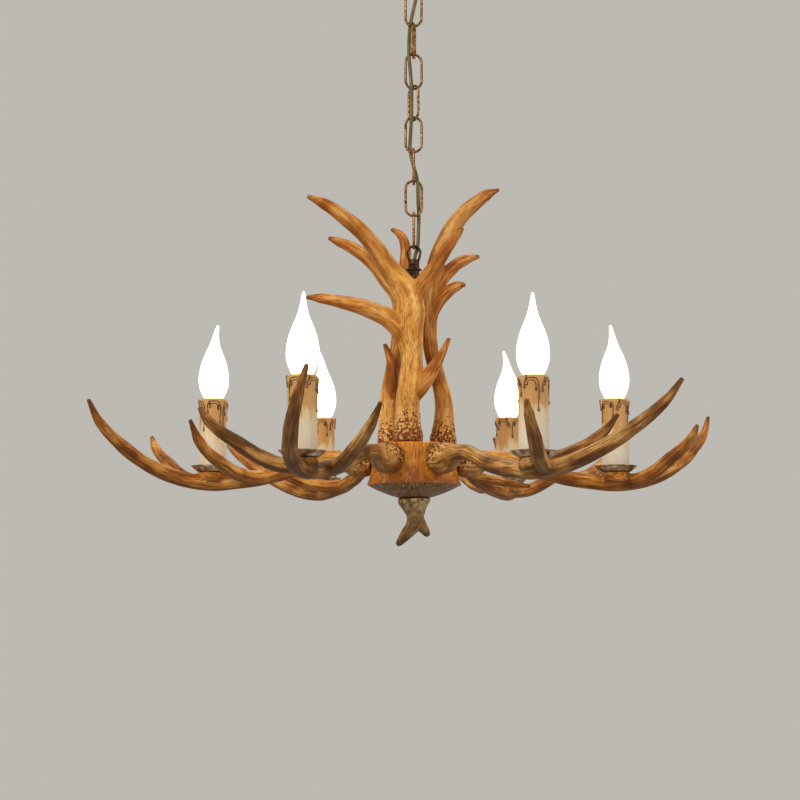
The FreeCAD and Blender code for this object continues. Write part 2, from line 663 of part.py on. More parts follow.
CROWN = {
    "front": ("crown_front_reach", 124, [
        (17, [(-6.5, -30, 0, 16.8), (-6.5, -30, 7, 17.2), (-7.6, -30, 22, 15.4), (-7.6, -30, 40, 14.3),
              (-6.8, -30, 52, 14), (-4, -30, 75, 13.4), (-2.6, -30, 90, 12.8), (-3, -30, 103, 12.9),
              (-4.5, -30, 118, 14.8), (-5, -31, 135, 16.4), (-3.8, -31, 151, 17.2), (-9, -32, 176, 15.4),
              (-26, -34, 198, 12.2), (-51, -40, 233, 9.8), (-77, -45.5, 257, 9), (-104, -49.5, 275, 7),
              (-124, -52, 283, 2.4)]),
        (6, [(-8, -30, 118, 11.5), (-25, -33, 140, 12), (-51, -36, 153, 10.2), (-80, -38, 161, 8.2),
             (-108, -39, 166, 5.8), (-125, -40, 167, 2.4)]),
        (7, [(-3, -31, 158, 12), (11.5, -33, 186, 10.4), (26.5, -37, 207, 8.5), (41.5, -41, 229, 6.6),
             (51, -44, 241, 4.8), (56.5, -46, 248, 2.4)]),
        (6, [(-4, -30, 52, 10.5), (6, -32, 64, 11), (15, -35, 76, 10), (24, -39, 89, 6.9),
             (33, -43.5, 103, 4.6), (40, -48, 119, 2.4)]),
    ]),
    "right": ("crown_right_reach", 105, [
        (17, [(34.6, 18, 0, 16), (34.6, 18, 8, 16.4), (35.2, 18, 25, 13), (35.3, 18, 51, 10.6),
              (29.5, 18, 78, 9.2), (20.5, 19, 114, 8.8), (18.6, 20, 144, 9), (19, 22, 175, 9.4),
              (24, 26, 210, 10.2), (36, 31, 245, 10.6), (53, 36, 275, 10.2), (73, 41, 297, 9),
              (90, 44, 310, 7), (105, 46, 317.5, 2.4)]),
        (6, [(20, 22, 176, 8.4), (29, 28, 195, 8.6), (44.5, 38, 216, 8), (63, 48, 230, 7),
             (81, 56, 236, 2.4)]),
        (5, [(18.5, 20, 142, 7.6), (26, 21, 168, 8.2), (39, 23, 184, 7.8), (52.5, 25, 193, 6.4),
             (63, 27, 195.5, 2.4)]),
    ]),
    "left": ("crown_left_reach", 104, [
        (16, [(-29, 20, 0, 14), (-29, 20, 8, 14.4), (-29.5, 20, 25, 12), (-29.3, 20, 58, 10.6),
              (-25, 20, 90, 9.2), (-19, 20, 120, 8.8), (-16, 21, 150, 9), (-18, 24, 177, 9.2),
              (-32, 28.5, 200, 9.4), (-50, 33, 224, 9), (-72, 38, 241.5, 7.8), (-90, 43, 251, 6),
              (-104, 46, 257, 2.4)]),
        (6, [(-16.5, 24, 168, 8), (-13.3, 33, 199, 7.7), (-10, 38, 224, 7), (-10, 42, 246, 6.6),
             (-16, 46, 261, 5.4), (-27.5, 50, 269, 2.4)]),
        (5, [(-27, 19, 54, 9), (-26, 12, 80, 7.4), (-28, 6, 101, 5), (-31.5, 3, 112, 3.8),
             (-34.8, 0.5, 120, 2.4)]),
    ]),
}
for side, (reach, modelled, branches) in CROWN.items():
    share = size(reach) / modelled
    seat = crown_seats[side]
    modelled_seat = branches[0][1][0]
    solids = [
        horn(crown_points(points, share, modelled_seat, seat), count, HORN_FLATS, (1, 0, 0))
        for count, points in branches
    ]
    screw_hole = rod(seat + vector(0, 0, HUB_TOP - wall), vector(0, 0, 1), size("screw_length") + FIT,
                     size("screw_radius") + FIT)
    under_seat = turned([(0, HUB_TOP - wall), (size("hub_top_radius"), HUB_TOP - wall),
                         (size("hub_top_radius"), HUB_TOP), (0, HUB_TOP)], 8)
    place_piece(f"crown_antler_{side}", fused(solids).cut([screw_hole, under_seat]))

# Crown screws: up through the drum's top plate, one into each crown antler's burr.
crown_screws = []
for seat in crown_seats.values():
    start = seat + vector(0, 0, HUB_TOP - wall - size("screw_head_height"))
    head = rod(start, vector(0, 0, 1), size("screw_head_height") - FIT, size("screw_head_radius"), 8)
    shank = rod(start, vector(0, 0, 1), size("screw_length") + size("screw_head_height") - wall,
                size("screw_radius"), 8)
    crown_screws.append(fused([head, shank]))
place_group("crown_screws", crown_screws)


def at_lamp(shape, angle):
    shape = shape.copy()
    shape.translate(vector(ring, 0, 0))
    shape.rotate(vector(0, 0, 0), vector(0, 0, 1), angle)
    return shape


# Drip pans: shallow pressed saucers with a broad flared rim, each held on its arm's boss.
PAN_FLATS = 16
pan_wall = size("pan_wall")
pan_floor_radius = size("sleeve_radius") + 1.5
pan_hole = (size("nipple_radius") + FIT) / math.cos(math.pi / PAN_FLATS)
pan_profile = [
    (pan_hole, PAN_FOOT),
    (pan_floor_radius, PAN_FOOT),
    (pan_floor_radius + 4, PAN_FOOT + 0.42 * size("pan_depth")),
    (size("pan_radius"), PAN_RIM),
    (size("pan_radius") - pan_wall, PAN_RIM),
    (pan_floor_radius - 0.4, PAN_FOOT + pan_wall),
    (pan_hole, PAN_FOOT + pan_wall),
]
drip_pan = turned(pan_profile, PAN_FLATS)

# Candle sleeves: thin-walled tubes with a thicker lip at the top, standing on the pans.
SLEEVE_FLATS = 16
LIP_STEP = 0.4
sleeve_foot = PAN_FOOT + pan_wall
sleeve_top = sleeve_foot + size("sleeve_height")
sleeve = turned([
    (size("sleeve_bore"), sleeve_foot),
    (size("sleeve_radius"), sleeve_foot),
    (size("sleeve_radius") - LIP_STEP, sleeve_top - size("lip_height") - 1),
    (size("sleeve_radius") + LIP_STEP, sleeve_top - size("lip_height")),
    (size("sleeve_radius") + LIP_STEP, sleeve_top),
    (size("sleeve_bore"), sleeve_top),
], SLEEVE_FLATS)

# Lamp holders: small screw sockets on hollow threaded rods, hidden in the sleeves.
HOLDER_FLATS = 10
holder_top = sleeve_top - size("holder_recess")
holder_foot = holder_top - size("holder_height")
socket_floor = holder_top - size("socket_depth")
ROD_ENTRY = 8
rod_bore = (size("nipple_radius") + FIT) / math.cos(math.pi / HOLDER_FLATS)
holder = turned([
    (rod_bore, holder_foot),
    (size("holder_radius"), holder_foot),
    (size("holder_radius"), holder_top - 3),
    (size("holder_radius") - 1.2, holder_top),
    (size("socket_radius"), holder_top),
    (size("socket_radius"), socket_floor),
    (0, socket_floor),
    (0, holder_foot + ROD_ENTRY + FIT),
    (rod_bore, holder_foot + ROD_ENTRY + FIT),
], HOLDER_FLATS)
nipple_foot = PAN_FOOT - NIPPLE_SINK
nipple_top = holder_foot + ROD_ENTRY
nipple = turned([
    (size("nipple_bore"), nipple_foot),
    (size("nipple_radius"), nipple_foot),
    (size("nipple_radius"), nipple_top),
    (size("nipple_bore"), nipple_top),
], 8)

# Flame bulbs: a screw cap with a tip contact, and a frosted glass flame whose drawn tip is
# bent aside; each is turned its own way.
BULB_FLATS = 12
cap_foot = socket_floor + FIT
cap_top = holder_top + 2
glass_top = sleeve_top + size("bulb_height") - 5
cap = turned([
    (0, cap_foot), (2.4, cap_foot), (size("cap_radius") - 1.6, cap_foot + 3),
    (size("cap_radius"), cap_foot + 4.5), (size("cap_radius"), cap_top), (0, cap_top)], 8)
GLASS_PROFILE = [
    (0, 0.39), (0.06, 0.56), (0.16, 0.8), (0.3, 0.98), (0.42, 1), (0.55, 0.89), (0.68, 0.66),
    (0.8, 0.38), (0.9, 0.18), (1, 0.07)]
TIP_BENDS = [(-3.5, 0), (-5, 1), (-4.5, 2), (4, 1), (0.5, -1), (0.5, 1)]


def flame_glass(bend):
    height = glass_top - cap_top
    path = []
    for share, width in GLASS_PROFILE:
        lean = max(0, (share - 0.62) / 0.38) ** 2
        path.append((bend[0] * lean, bend[1] * lean, cap_top + share * height,
                     width * size("bulb_radius")))
    rings = []
    for x, y, level, radius in path:
        rings.append([point + vector(x, y, 0) for point in ring_points(radius, level, BULB_FLATS)])
    faces = [flat_face(rings[0]), flat_face(rings[-1])]
    for lower, upper in zip(rings, rings[1:]):
        faces.extend(band(lower, upper, True))
    return closed_solid(faces)


nipples = []
for number, angle in enumerate(ARM_ANGLES):
    place_piece(f"drip_pan_{number + 1}", at_lamp(drip_pan, angle))
    place_piece(f"candle_sleeve_{number + 1}", at_lamp(sleeve, angle))
    place_piece(f"lamp_holder_{number + 1}", at_lamp(holder, angle))
    nipples.append(at_lamp(nipple, angle))
    lamp_place = radial(angle) * ring
    glass = flame_glass(TIP_BENDS[number])
    glass.translate(lamp_place)
    screw_cap = cap.copy()
    screw_cap.translate(lamp_place)
    place_group(f"bulb_{number + 1}", [glass, screw_cap])
place_group("lamp_nipples", nipples)

# Supply cord: drops through the canopy's hollow rod, is woven through the chain and goes
# down the stem to the terminal block. Points are (right, away, level), chosen by hand;
# its solid is straight runs joined by arcs. It ends at the terminal block's face.
BLOCK_FACE = 17
chain_levels = [EYE_WIRE_LEVEL - k * LINK_STEP + size("wire_radius") for k in range(LINK_COUNT + 1)]
half_step = LINK_STEP / 2
CHAIN_CROSSINGS = [(4.6, -4.6), (-4.6, 4.9), (-5.8, -4.8), (-2.4, -5.2), (-2.6, -4.9),
                   (-4.8, 4.9), (5.0, -4.9), (6.2, 4.9), (5.0, 4.9)]
LINK_MIDDLES = [(0, 0), (-5.4, 0), (-4, -4.6), (-2.4, -4.9), (-3.8, 0), (0, 0), (5, 0), (5.6, 5)]
cord_route = [(0, 0, -6), (0, 0, canopy_foot + 8), (0.4, -0.4, EYE_WIRE_LEVEL + 16)]
for k, (x, y) in enumerate(CHAIN_CROSSINGS):
    cord_route.append((x, y, chain_levels[k]))
    if k < LINK_COUNT:
        cord_route.append((*LINK_MIDDLES[k], chain_levels[k] - half_step))
cord_route += [(0.3, 0.3, LOOP_FOOT_LEVEL + 2.5), (0, 0, STEM_TOP)]
straight_length = STEM_TOP - (HUB_TOP - 10)
for k in range(1, 5):
    cord_route.append((0.4 * (-1) ** k, 0.3, STEM_TOP - k * straight_length / 5))
cord_route += [(0, 0, HUB_TOP - 8), (2, 0, HUB_TOP - 19), (9, 0, HUB_TOP - 27)]
cord_route.append((BLOCK_FACE - FIT, 0, HUB_TOP - 27))
places = [vector(*point) for point in cord_route]
cord_edges = []
last = places[0]
for before, corner, after in zip(places, places[1:], places[2:]):
    inward = (corner - before).normalize()
    outward = (after - corner).normalize()
    half_turn = inward.getAngle(outward) / 2
    if half_turn < 0.002:  # two runs in one line need no arc
        continue
    cut_back = 0.45 * min((corner - before).Length, (after - corner).Length)
    radius = cut_back / math.tan(half_turn)
    start = corner - inward * cut_back
    end = corner + outward * cut_back
    towards = (outward - inward).normalize()
    middle = corner + towards * (radius / math.cos(half_turn) - radius)
    cord_edges.append(Part.LineSegment(last, start).toShape())
    cord_edges.append(Part.Arc(start, middle, end).toShape())
    last = end
cord_edges.append(Part.LineSegment(last, places[-1]).toShape())
cord_path = Part.Wire(cord_edges)
CORD_FLATS = 6
cord_outline = ring_points(size("cord_radius"), places[0].z, CORD_FLATS)
cord_section = Part.makePolygon(cord_outline + cord_outline[:1])
supply_cord = cord_path.makePipeShell([cord_section], True, False)
place_piece("supply_cord", supply_cord)
section_area = flat_face(cord_outline).Area
fill = supply_cord.Volume / (cord_path.Length * section_area)
print(f"cord length {cord_path.Length:.0f}, volume over length and section {fill:.4f}")

# Terminal block on the bowl's sloping floor beside the stem, and the six lamp leads that run
# from it to the arms.
BLOCK_LENGTH = 14
BLOCK_WIDTH = 18
block_corner = math.hypot(BLOCK_FACE + BLOCK_LENGTH, BLOCK_WIDTH / 2)
slope_foot = BOWL_FOOT + wall
slope_rise = HUB_FOOT - 0.2 * size("bowl_depth") - slope_foot
slope_run = lip_radius - 4 - size("bowl_foot_radius")
block_level = slope_foot + slope_rise * (block_corner - size("bowl_foot_radius")) / slope_run + FIT
terminal_block = doc.addObject("Part::Box", "terminal_block")
terminal_block.Label = "terminal_block"
terminal_block.Length = BLOCK_LENGTH
terminal_block.Width = BLOCK_WIDTH
terminal_block.setExpression("Height", "Sizes.hub_height * 0.6")
terminal_block.Placement.Base = vector(BLOCK_FACE, -BLOCK_WIDTH / 2, block_level)
# Each lead leaves the block's near side on its own level, runs round inside the drum on a
# curve and ends behind its arm's bolt; the first goes straight to its arm.
LEAD_RADIUS = 1.3
LEAD_SPACING = 3.2
LEAD_TURN = 50
block_side = BLOCK_WIDTH / 2 + FIT
block_end = BLOCK_FACE + BLOCK_LENGTH + FIT
top_lead = BOLT_LEVEL - 8
leads = []
for number, angle in enumerate(ARM_ANGLES):
    turn = angle if angle <= 180 else angle - 360
    side = 1 if turn >= 0 else -1
    lead_end = radial(angle) * (bolt_start - 1)
    if angle == 0:
        waypoints = [(block_end, 0), ((block_end + lead_end.x) / 2, 0)]
    else:
        start_x = BLOCK_FACE + 3 + number
        waypoints = [(start_x, side * block_side), (start_x, side * (block_side + 4))]
        steps = max(1, round((abs(turn) - LEAD_TURN) / 40))
        radius = 24 + 3 * (number % 3)
        for k in range(steps + 1):
            part_turn = math.radians(side * (LEAD_TURN + (abs(turn) - LEAD_TURN) * k / steps))
            waypoints.append((radius * math.cos(part_turn), radius * math.sin(part_turn)))
    waypoints.append((lead_end.x, lead_end.y))
    start_level = top_lead - LEAD_SPACING * (number % 3)
    path = [(x, y, start_level - k / len(waypoints), LEAD_RADIUS) for k, (x, y) in enumerate(waypoints)]
    leads.append(horn(path, 2 * len(waypoints) - 1, 4, (0, 0, 1)))
place_group("lamp_leads", leads)

doc.recompute()

# Check every feature, then write each named piece to its own file.
os.makedirs("parts", exist_ok=True)
piece_kinds = ("Part::Feature", "PartDesign::Body", "Part::Cut", "Part::Box")
pieces = [item for item in doc.Objects if item.TypeId in piece_kinds]
for item in doc.Objects:
    if "Invalid" in item.State or "Error" in item.State:
        raise RuntimeError(f"{item.Label} failed: {item.State}")
for piece in pieces:
    if piece.Shape.isNull() or not piece.Shape.isValid():
        raise RuntimeError(f"{piece.Label} has no valid shape")
for piece in pieces:
    piece.Shape.exportStep(f"parts/{piece.Label}.step")
print(len(pieces), "pieces")
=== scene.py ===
import math

import bpy
import numpy
from mathutils import Matrix, Vector, noise


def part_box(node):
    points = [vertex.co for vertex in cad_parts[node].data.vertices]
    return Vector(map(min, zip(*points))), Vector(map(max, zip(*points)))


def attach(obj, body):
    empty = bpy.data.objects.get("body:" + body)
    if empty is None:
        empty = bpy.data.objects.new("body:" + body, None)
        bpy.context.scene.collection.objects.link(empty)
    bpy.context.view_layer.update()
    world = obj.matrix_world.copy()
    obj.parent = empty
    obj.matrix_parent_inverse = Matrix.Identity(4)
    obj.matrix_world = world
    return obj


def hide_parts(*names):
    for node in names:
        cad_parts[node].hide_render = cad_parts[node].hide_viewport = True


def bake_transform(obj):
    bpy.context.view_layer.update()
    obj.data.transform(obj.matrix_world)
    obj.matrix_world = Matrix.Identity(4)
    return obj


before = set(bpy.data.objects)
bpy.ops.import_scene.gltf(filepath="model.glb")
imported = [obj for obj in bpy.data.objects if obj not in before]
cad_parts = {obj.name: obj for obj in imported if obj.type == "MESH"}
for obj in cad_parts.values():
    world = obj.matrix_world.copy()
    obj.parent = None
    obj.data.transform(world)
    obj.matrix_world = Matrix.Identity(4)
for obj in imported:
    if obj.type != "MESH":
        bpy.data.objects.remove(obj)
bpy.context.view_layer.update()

# ---------------------------------------------------------------- view, floor and light
# The photograph was taken from a little below the drip pans, looking slightly up at the lamp
# in a pale grey room. Lengths here and below are in millimetres, and levels are those of the
# CAD pieces, with the ceiling at 0.
MM = 0.001
PHOTO_DISTANCE = 1742
PHOTO_BELOW_PANS = 136.3
PHOTO_SIDE_STEP = -16.3
PHOTO_TILT = 6.984
PHOTO_LENS = 67.67
SENSOR_WIDTH = 36
FLOOR_RADIUS = 1900
FLOOR_LEVEL = -1350


def top_of(node):
    """Level of a CAD piece's top."""
    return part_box(node)[1][2] / MM


PAN_RIM = top_of("drip_pan_1")
bpy.ops.object.camera_add(
    location=Vector((PHOTO_SIDE_STEP, -PHOTO_DISTANCE, PAN_RIM - PHOTO_BELOW_PANS)) * MM,
    rotation=(math.radians(90 + PHOTO_TILT), 0, 0),
)
camera = bpy.context.object
camera.data.lens = PHOTO_LENS
camera.data.sensor_width = SENSOR_WIDTH
bpy.context.scene.camera = camera
bpy.context.scene.view_settings.view_transform = "Standard"


def linear(colour):
    """A colour given as sRGB hex, as the linear values that Blender's sockets take."""
    parts = [int(colour[i : i + 2], 16) / 255 for i in (1, 3, 5)]
    return [p / 12.92 if p <= 0.04045 else ((p + 0.055) / 1.055) ** 2.4 for p in parts] + [1]


def set_inputs(owner, inputs, values):
    """Set a node's sockets by name or number: to a value, or linked to another node's output."""
    for name, value in values.items():
        if isinstance(value, bpy.types.NodeSocket):
            owner.node_tree.links.new(value, inputs[name])
        else:
            inputs[name].default_value = value


def add_node(owner, kind, values=None, **settings):
    """Add a shader node: settings are its own properties, values those of its sockets."""
    node = owner.node_tree.nodes.new("ShaderNode" + kind)
    for name, value in settings.items():
        setattr(node, name, value)
    set_inputs(owner, node.inputs, values or {})
    return node


def new_material(name):
    material = bpy.data.materials.new(name)
    material.use_nodes = True
    return material


def shade(material, values):
    """Set the sockets of a material's Principled shader, and hand the material back."""
    set_inputs(material, material.node_tree.nodes["Principled BSDF"].inputs, values)
    return material


def painted_floor():
    """Pale matt emulsion, rolled on: even, with no gloss."""
    return shade(new_material("floor_emulsion"), {"Base Color": linear("#C9C7C1"), "Roughness": 0.9})


bpy.ops.mesh.primitive_circle_add(vertices=96, radius=FLOOR_RADIUS * MM, fill_type="NGON",
                                  location=(0, 0, FLOOR_LEVEL * MM))
floor = bpy.context.object
floor.name = "floor"
floor.data.materials.append(painted_floor())

# The wall's tone is what the camera and the gloss see; a paler air lights the lamp.
world = bpy.data.worlds.new("room")
bpy.context.scene.world = world
world.use_nodes = True
seen = world.node_tree.nodes["Background"]
set_inputs(world, seen.inputs, {"Color": linear("#BCBAB2"), "Strength": 1})
lit = add_node(world, "Background", {"Color": linear("#F1EEE8"), "Strength": 0.42})
way = add_node(world, "LightPath").outputs
direct = add_node(world, "Math", {0: way["Is Camera Ray"], 1: way["Is Glossy Ray"]}, operation="MAXIMUM")
mixed = add_node(world, "MixShader", {0: direct.outputs[0], 1: lit.outputs[0], 2: seen.outputs[0]})
set_inputs(world, world.node_tree.nodes["World Output"].inputs, {"Surface": mixed.outputs[0]})

# Each light's place and width in metres, and its power in watts.
SOFT_LIGHTS = {
    "key": ((-1.5, -1.7, 0.6), 1.6, 34),
    "fill": ((1.9, -1.2, -0.2), 1.6, 14),
    "top": ((0.3, 0.9, 1.1), 1.4, 16),
}
LIT_PLACE = Vector((0, 0, -0.5))
for name, (place, width, power) in SOFT_LIGHTS.items():
    towards = LIT_PLACE - Vector(place)
    bpy.ops.object.light_add(type="AREA", location=place,
                             rotation=towards.to_track_quat("-Z", "Y").to_euler())
    lamp = bpy.context.object
    lamp.name = name + "_light"
    lamp.data.size = width
    lamp.data.energy = power
    lamp.data.color = linear("#FFF8EE")[:3]

# ---------------------------------------------------------------- mounting bar and its fixings
# A pressed steel strap for the ceiling, with a hollow threaded rod and a lock nut. The bolts,
# nuts and rods further down are of the same bright zinc plate. All keep the CAD's shapes.


def object_place(material):
    return add_node(material, "TexCoord").outputs["Object"]


def cloudy(material, place, size, detail):
    """Noise with patches about as many millimetres wide as size says."""
    return add_node(material, "TexNoise",
                    {"Vector": place, "Scale": 1 / (size * MM), "Detail": detail}).outputs["Fac"]


def ramp(material, amount, *stops):
    """Colours along an amount, from (place, sRGB hex) pairs."""
    node = add_node(material, "ValToRGB", {"Fac": amount})
    elements = node.color_ramp.elements
    for i, (place, colour) in enumerate(stops):
        element = elements[i] if i < 2 else elements.new(place)
        element.position = place
        element.color = linear(colour)
    return node.outputs["Color"]


def spread(material, amount, low, high, new_low=0, new_high=1):
    """An amount carried from one range to another, and held inside it."""
    return add_node(material, "MapRange", {"Value": amount, "From Min": low, "From Max": high,
                                           "To Min": new_low, "To Max": new_high}).outputs["Result"]


def zinc_plate():
    """Bright zinc on pressed steel: blue-grey, with a soft sheen and cloudy patches."""
    material = new_material("zinc_plated_steel")
    cloud = cloudy(material, object_place(material), 6, 3)
    return shade(material, {"Base Color": ramp(material, cloud, (0.3, "#8E9092"), (0.7, "#B9BAB8")),
                            "Roughness": spread(material, cloud, 0, 1, 0.3, 0.48), "Metallic": 1})


def dress(node, material):
    """Give a CAD piece that keeps its shape the finished material."""
    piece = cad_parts[node]
    piece.data.materials.clear()
    piece.data.materials.append(material)


zinc = zinc_plate()
for node in ("mounting_bar", "canopy_rod", "canopy_lock_nut", "hub_nuts", "arm_bolts", "crown_screws",
             "lamp_nipples"):
    dress(node, zinc)

# ---------------------------------------------------------------- ceiling canopy
# A dome spun from thin sheet steel and painted antique bronze. The collar of the eye below
# it holds it up against the ceiling.


def foot_of(node):
    """Level of a CAD piece's foot."""
    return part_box(node)[0][2] / MM


def relief(material, height, strength, depth, **settings):
    """Fine relief from a height, its depth in millimetres."""
    return add_node(material, "Bump", {"Height": height, "Strength": strength, "Distance": depth * MM},
                    **settings).outputs["Normal"]


def antique_bronze(name="antique_bronze_paint", dark="#2B1D14", light="#5A4028"):
    """Dark brown lacquer rubbed back over bronze: mottled, with a low satin gloss."""
    material = new_material(name)
    place = object_place(material)
    tint = ramp(material, cloudy(material, place, 5, 5), (0.35, dark), (0.68, light))
    specks = relief(material, cloudy(material, place, 0.9, 2), 0.25, 0.2)
    return shade(material, {"Base Color": tint, "Normal": specks, "Roughness": 0.42, "Metallic": 0.75})


def turn_piece(name, outline, flats=72, place=(0, 0), hollow=False):
    """Turn an outline of (radius, level) about an upright axis, one ring at a time. A hollow
    piece's last ring is joined to its first; a solid one is capped at both ends."""
    bpy.ops.object.select_all(action="DESELECT")
    (radius, level), middle = outline[0], Vector((*place, 0)) * MM
    bpy.ops.mesh.primitive_circle_add(vertices=flats, radius=radius * MM,
                                      location=middle + Vector((0, 0, level * MM)))
    piece = bpy.context.object
    piece.name = name
    bpy.ops.object.mode_set(mode="EDIT")
    bpy.ops.mesh.select_all(action="SELECT")
    for (radius, level), (next_radius, next_level) in zip(outline, outline[1:]):
        rise = (0, 0, (next_level - level) * MM)
        growth = next_radius / radius
        bpy.ops.mesh.extrude_edges_move(TRANSFORM_OT_translate={"value": rise})
        bpy.ops.transform.resize(value=(growth, growth, 1),
                                 center_override=middle + Vector((0, 0, next_level * MM)))
    bpy.ops.mesh.select_all(action="SELECT")
    if hollow:
        bpy.ops.mesh.region_to_loop()
        bpy.ops.mesh.bridge_edge_loops()
    else:
        bpy.ops.mesh.fill_holes(sides=0)
    bpy.ops.mesh.select_all(action="SELECT")
    bpy.ops.mesh.normals_make_consistent(inside=False)
    bpy.ops.object.mode_set(mode="OBJECT")
    bpy.ops.object.transform_apply(location=True, rotation=True, scale=True)
    bpy.ops.object.shade_smooth_by_angle(angle=math.radians(35))
    return piece


def finish_piece(piece, body, slot, *nodes):
    """Join a finished piece to its body and hide the CAD pieces that it stands for. Its slot is not used."""
    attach(piece, body)
    if nodes:
        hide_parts(*nodes)


bronze = antique_bronze()
CANOPY_FOOT = foot_of("ceiling_canopy")
canopy = turn_piece("canopy_dome", [
    (59.8, 0), (59.8, 0.1 * CANOPY_FOOT), (59, 0.22 * CANOPY_FOOT), (57, 0.38 * CANOPY_FOOT),
    (53, 0.56 * CANOPY_FOOT), (47.5, 0.71 * CANOPY_FOOT), (40, 0.845 * CANOPY_FOOT),
    (31, 0.94 * CANOPY_FOOT), (21, CANOPY_FOOT), (5.4, CANOPY_FOOT), (5.4, CANOPY_FOOT + 1.2),
    (21, CANOPY_FOOT + 1.2), (39.4, 0.845 * CANOPY_FOOT + 1.2), (52.2, 0.56 * CANOPY_FOOT + 0.8),
    (57.8, 0.22 * CANOPY_FOOT), (58.6, 0)], 96, hollow=True)
canopy.data.materials.append(bronze)
finish_piece(canopy, "ceiling", "antique_bronze", "ceiling_canopy")

# ---------------------------------------------------------------- chain
# Long oval links bent from 3.4 mm steel wire, hammered by the maker's dies and plated in
# antiqued brass. Each link is welded shut and turned against its neighbours.
WIRE_RADIUS = 1.7
LINK_GAP = 0.4
LINK_COUNT = 8
LINK_HALF_WIDTH = 9.6
LINK_TURNS = [0, 80, 5, -55, 0, 90, 0, 90]
CHAIN_TOP = top_of("chain_link_1") - 2 * WIRE_RADIUS - LINK_GAP + WIRE_RADIUS
LINK_STEP = (top_of("chain_link_1") - top_of("chain_link_8")) / (LINK_COUNT - 1)
DENT_WIDTH = 2.2
DENT_MEAN = 0.1
DENT_DEPTH = 0.14


def maths(material, operation, *values):
    return add_node(material, "Math", dict(enumerate(values)), operation=operation).outputs[0]


def antiqued_brass():
    """Brass plate darkened by a wash and buffed: gold on the high spots, brown in the dents."""
    material = new_material("antiqued_brass_plate")
    place = object_place(material)
    dents = add_node(material, "TexVoronoi", {"Vector": place, "Scale": 1 / (2.4 * MM), "Randomness": 1.0})
    sunk = dents.outputs["Distance"]
    tint = ramp(material, maths(material, "MULTIPLY", sunk, cloudy(material, place, 4, 4)),
                (0.12, "#B88A54"), (0.3, "#7E5430"), (0.48, "#472A16"))
    return shade(material, {"Base Color": tint, "Normal": relief(material, sunk, 0.6, 0.5, invert=True),
                            "Roughness": 0.38, "Metallic": 0.9})


def oval_outline(half_width, top, foot, bend_steps=12):
    """Centre line of a long oval: two half rounds joined by straight sides, as (across, level)."""
    points = []
    for i in range(bend_steps + 1):
        turn = math.pi * i / bend_steps
        points.append((half_width * math.cos(turn), top - half_width + half_width * math.sin(turn)))
    for i in range(bend_steps + 1):
        turn = math.pi * (1 + i / bend_steps)
        points.append((half_width * math.cos(turn), foot + half_width + half_width * math.sin(turn)))
    return points


def poly_wire(name, places, radius, bevel_steps, closed=False):
    """A round wire along straight steps from place to place, as a mesh."""
    bpy.ops.curve.primitive_bezier_curve_add()
    wire = bpy.context.object
    wire.name = name
    wire.data.splines.clear()
    spline = wire.data.splines.new("POLY")
    spline.points.add(len(places) - 1)
    for point, place in zip(spline.points, places):
        point.co = (*place, 1)
    spline.use_cyclic_u = closed
    wire.data.dimensions = "3D"
    wire.data.bevel_depth = radius * MM
    wire.data.bevel_resolution = bevel_steps
    wire.data.use_fill_caps = not closed
    bpy.ops.object.convert(target="MESH")
    return wire


def bend_wire(name, outline, radius, turn=0, closed=True):
    """Bend round wire to an outline, then dent it here and there as its hammered finish is."""
    wire = poly_wire(name, [(across * MM, 0, level * MM) for across, level in outline], radius, 5, closed)
    bpy.ops.object.mode_set(mode="EDIT")
    bpy.ops.mesh.select_all(action="SELECT")
    bpy.ops.mesh.remove_doubles(threshold=0.01 * MM)
    bpy.ops.mesh.subdivide(number_cuts=1)
    bpy.ops.mesh.normals_make_consistent(inside=False)
    bpy.ops.object.mode_set(mode="OBJECT")
    seed = Vector((turn, len(outline), 3))
    for vertex in wire.data.vertices:
        dent = noise.noise(vertex.co / (DENT_WIDTH * MM) + seed)
        vertex.co -= vertex.normal * (DENT_MEAN + DENT_DEPTH * dent) * MM
    wire.data.transform(Matrix.Rotation(math.radians(turn), 4, "Z"))
    bpy.ops.object.shade_smooth()
    return wire


brass = antiqued_brass()
for number, turn in enumerate(LINK_TURNS):
    link_top = CHAIN_TOP - number * LINK_STEP + WIRE_RADIUS + LINK_GAP
    link_foot = CHAIN_TOP - WIRE_RADIUS - (number + 1) * LINK_STEP
    chain_link = bend_wire(f"link_wire_{number + 1}", oval_outline(LINK_HALF_WIDTH, link_top, link_foot),
                           WIRE_RADIUS, turn)
    chain_link.data.materials.append(brass)
    finish_piece(chain_link, f"link_{number + 1}", "chain_brass", f"chain_link_{number + 1}")

# ---------------------------------------------------------------- eye of the canopy
# A turned collar screwed on the hollow rod, with a closed eye of the chain's own wire that
# the first link hangs from.
EYE_HALF_WIDTH = 7.6
EYE_LEG_OUT = 6.9
EYE_COLLAR_FOOT = CANOPY_FOOT - 11.4


def join_pieces(name, pieces):
    bpy.ops.object.select_all(action="DESELECT")
    for piece in pieces:
        piece.select_set(True)
    bpy.context.view_layer.objects.active = pieces[0]
    if len(pieces) > 1:
        bpy.ops.object.join()
    pieces[0].name = name
    return pieces[0]


def arch_outline(half_width, bend_level, collar_level, collar_half_width, bend_steps=18):
    """Centre line of an eye that stands on a collar: a round end, and two legs that lean in."""
    away = 1 if bend_level > collar_level else -1
    middle = bend_level - away * half_width
    points = [(-collar_half_width, collar_level), (-half_width * 0.9, (middle + collar_level) / 2)]
    for i in range(bend_steps + 1):
        turn = math.pi * (1 - i / bend_steps)
        points.append((half_width * math.cos(turn), middle + away * half_width * math.sin(turn)))
    return points + [(-x, level) for x, level in points[1::-1]]


